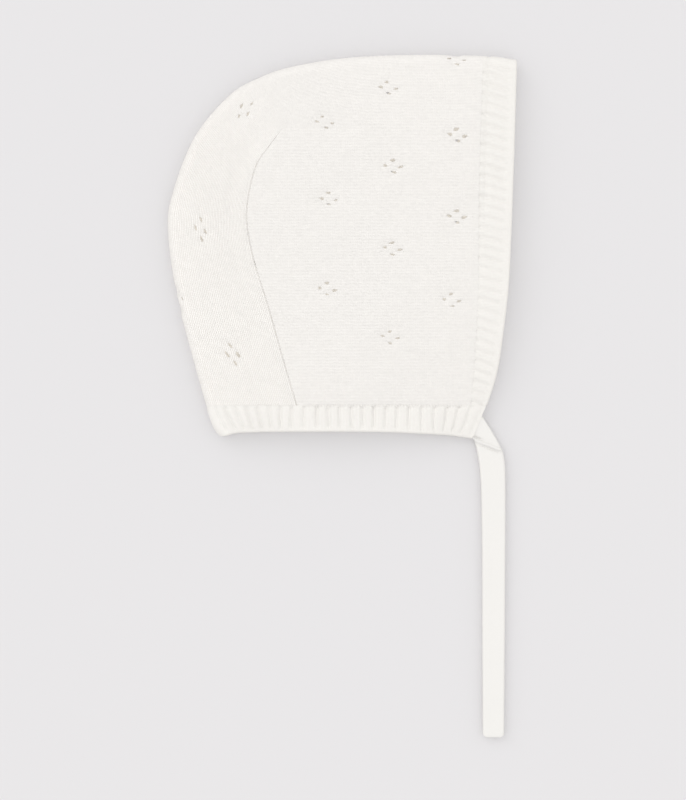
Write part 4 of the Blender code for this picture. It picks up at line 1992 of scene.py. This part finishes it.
@dataclass
class Studio:
    """A plain pale floor, soft light from the upper left, and a camera straight above."""

    floor_colour: tuple[float, float, float] = (0.718, 0.706, 0.713)
    floor_roughness: float = 0.95
    floor_specular: float = 0.1
    floor_size: float = 4.0
    floor_level: float = -0.03 * MM
    sky_low: float = 0.78
    sky_high: float = 1.21
    lamp: float = 0.42
    lamp_angle: float = 40.0
    lamp_from: tuple[float, float, float] = (-0.58, 0.58, 0.57)
    sensor_width: float = 36.0
    camera_height: float = 1.3
    view_height: float = 0.36
    view_middle: tuple[float, float] = (0.27 * MM, -1.7 * MM)
    view_reach: float = 100.0

    def build(self) -> None:
        """Makes the floor, the light and the camera."""
        self.lay_floor()
        self.light()
        self.set_camera()

    def lay_floor(self) -> None:
        """Makes the floor and marks it as a backdrop, which object_bounds leaves out."""
        half = 0.5 * self.floor_size
        corners = [(half * x, half * y, self.floor_level) for x, y in ((-1, -1), (1, -1), (1, 1), (-1, 1))]
        mesh = bpy.data.meshes.new("floor")
        mesh.from_pydata(corners, [], [(0, 1, 2, 3)])
        paper = bpy.data.materials.new("pale paper")
        paper.use_nodes = True
        shader = paper.node_tree.nodes["Principled BSDF"]
        shader.inputs["Base Color"].default_value = (*self.floor_colour, 1)
        shader.inputs["Roughness"].default_value = self.floor_roughness
        shader.inputs["Specular IOR Level"].default_value = self.floor_specular
        mesh.materials.append(paper)
        placed("floor", mesh)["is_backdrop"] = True

    def light(self) -> None:
        """Even light from all round, and a broad lamp from the upper left."""
        scene = bpy.context.scene
        scene.world = bpy.data.worlds.new("studio")
        scene.world.use_nodes = True
        board = NodeBoard(scene.world.node_tree)
        background = board.tree.nodes["Background"]
        background.inputs["Color"].default_value = (1, 1, 1, 1)
        split = board.add("SeparateXYZ")
        board.wire(board.add("TexCoord").outputs["Generated"], split.inputs[0])
        rise = board.times(board.maths("MAXIMUM", split.outputs[2], 0.0), self.sky_high - self.sky_low)
        board.wire(board.plus(rise, self.sky_low), background.inputs["Strength"])
        lamp = bpy.data.lights.new("broad lamp", "SUN")
        lamp.energy = self.lamp
        lamp.angle = math.radians(self.lamp_angle)
        placed("broad lamp", lamp).rotation_euler = Vector(self.lamp_from).to_track_quat("Z", "Y").to_euler()
        scene.view_settings.view_transform = "Standard"

    def set_camera(self) -> None:
        """A camera that looks straight down."""
        lens = bpy.data.cameras.new("camera")
        lens.sensor_width = self.sensor_width
        lens.lens = self.sensor_width * self.camera_height / self.view_height
        lens.clip_end = self.view_reach
        camera = placed("camera", lens)
        camera.location = (*self.view_middle, self.camera_height)
        bpy.context.scene.camera = camera


@dataclass
class Bonnet:
    """The whole bonnet: builds each piece, dresses it and hangs it under the root."""

    form: FoldedForm
    lower_tie_level: float = 1.0 * MM
    upper_tie_level: float = 3.3 * MM
    tuck_height: float = 1.1 * MM

    def build(self) -> None:
        """Builds every piece in order."""
        groups = YarnGroups(StitchRelief().group(), YarnMottle().group())
        jersey = [JERSEY.material(groups, StitchFace.KNIT), LIT_JERSEY_BACK.material(groups, StitchFace.PURL)]
        rib = [RIB.material(groups, face) for face in StitchFace]
        tape = [TAPE.material(groups, StitchFace.KNIT)]
        front_band, neck_band = FrontBand(self.form), NeckBand(self.form)
        body = KnitBody(self.form, front_band, neck_band).build()
        front, neck = front_band.build(), neck_band.build()
        lower = Tie("bonnet_tie_left", self.lower_tie_level, Tuck(0.0)).build()
        tuck = Tuck(self.tuck_height)
        upper = Tie("bonnet_tie_right", self.upper_tie_level, tuck, root_share=1.1).build()
        self.hand_over(body, jersey, "stockinette", "knit_body")
        self.hand_over(front, rib, "rib", "front_band")
        self.hand_over(neck, rib, "rib", "neck_band")
        self.hand_over(lower, tape, "tie_knit", "tie_left")
        self.hand_over(upper, tape, "tie_knit", "tie_right")
        for loops, slot in zip(Linking(self.form).build(), ("rib", "rib", "stockinette")):
            self.hand_over(loops, jersey[:1], slot, None)

    def hand_over(
        self, piece: bpy.types.Object, finishes: list[bpy.types.Material], slot: str, node: str | None
    ) -> None:
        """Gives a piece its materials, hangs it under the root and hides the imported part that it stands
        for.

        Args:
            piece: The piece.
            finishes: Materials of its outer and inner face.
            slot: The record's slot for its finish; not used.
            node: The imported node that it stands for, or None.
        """
        for finish in finishes:
            piece.data.materials.append(finish)
        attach(piece, "root")
        if node:
            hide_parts(node)
        piece.data.calc_loop_triangles()
        log.info("%s: %d triangles", piece.name, len(piece.data.loop_triangles))


def main() -> None:
    """Builds the studio and the bonnet."""
    logging.basicConfig(level=logging.INFO, format="%(name)s %(message)s")
    Studio().build()
    Bonnet(FoldedForm()).build()
    boxes = [[list(map(float, corner)) for corner in box] for box in (PACKED_BOX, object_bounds())]


if __name__ == "__main__":
    main()
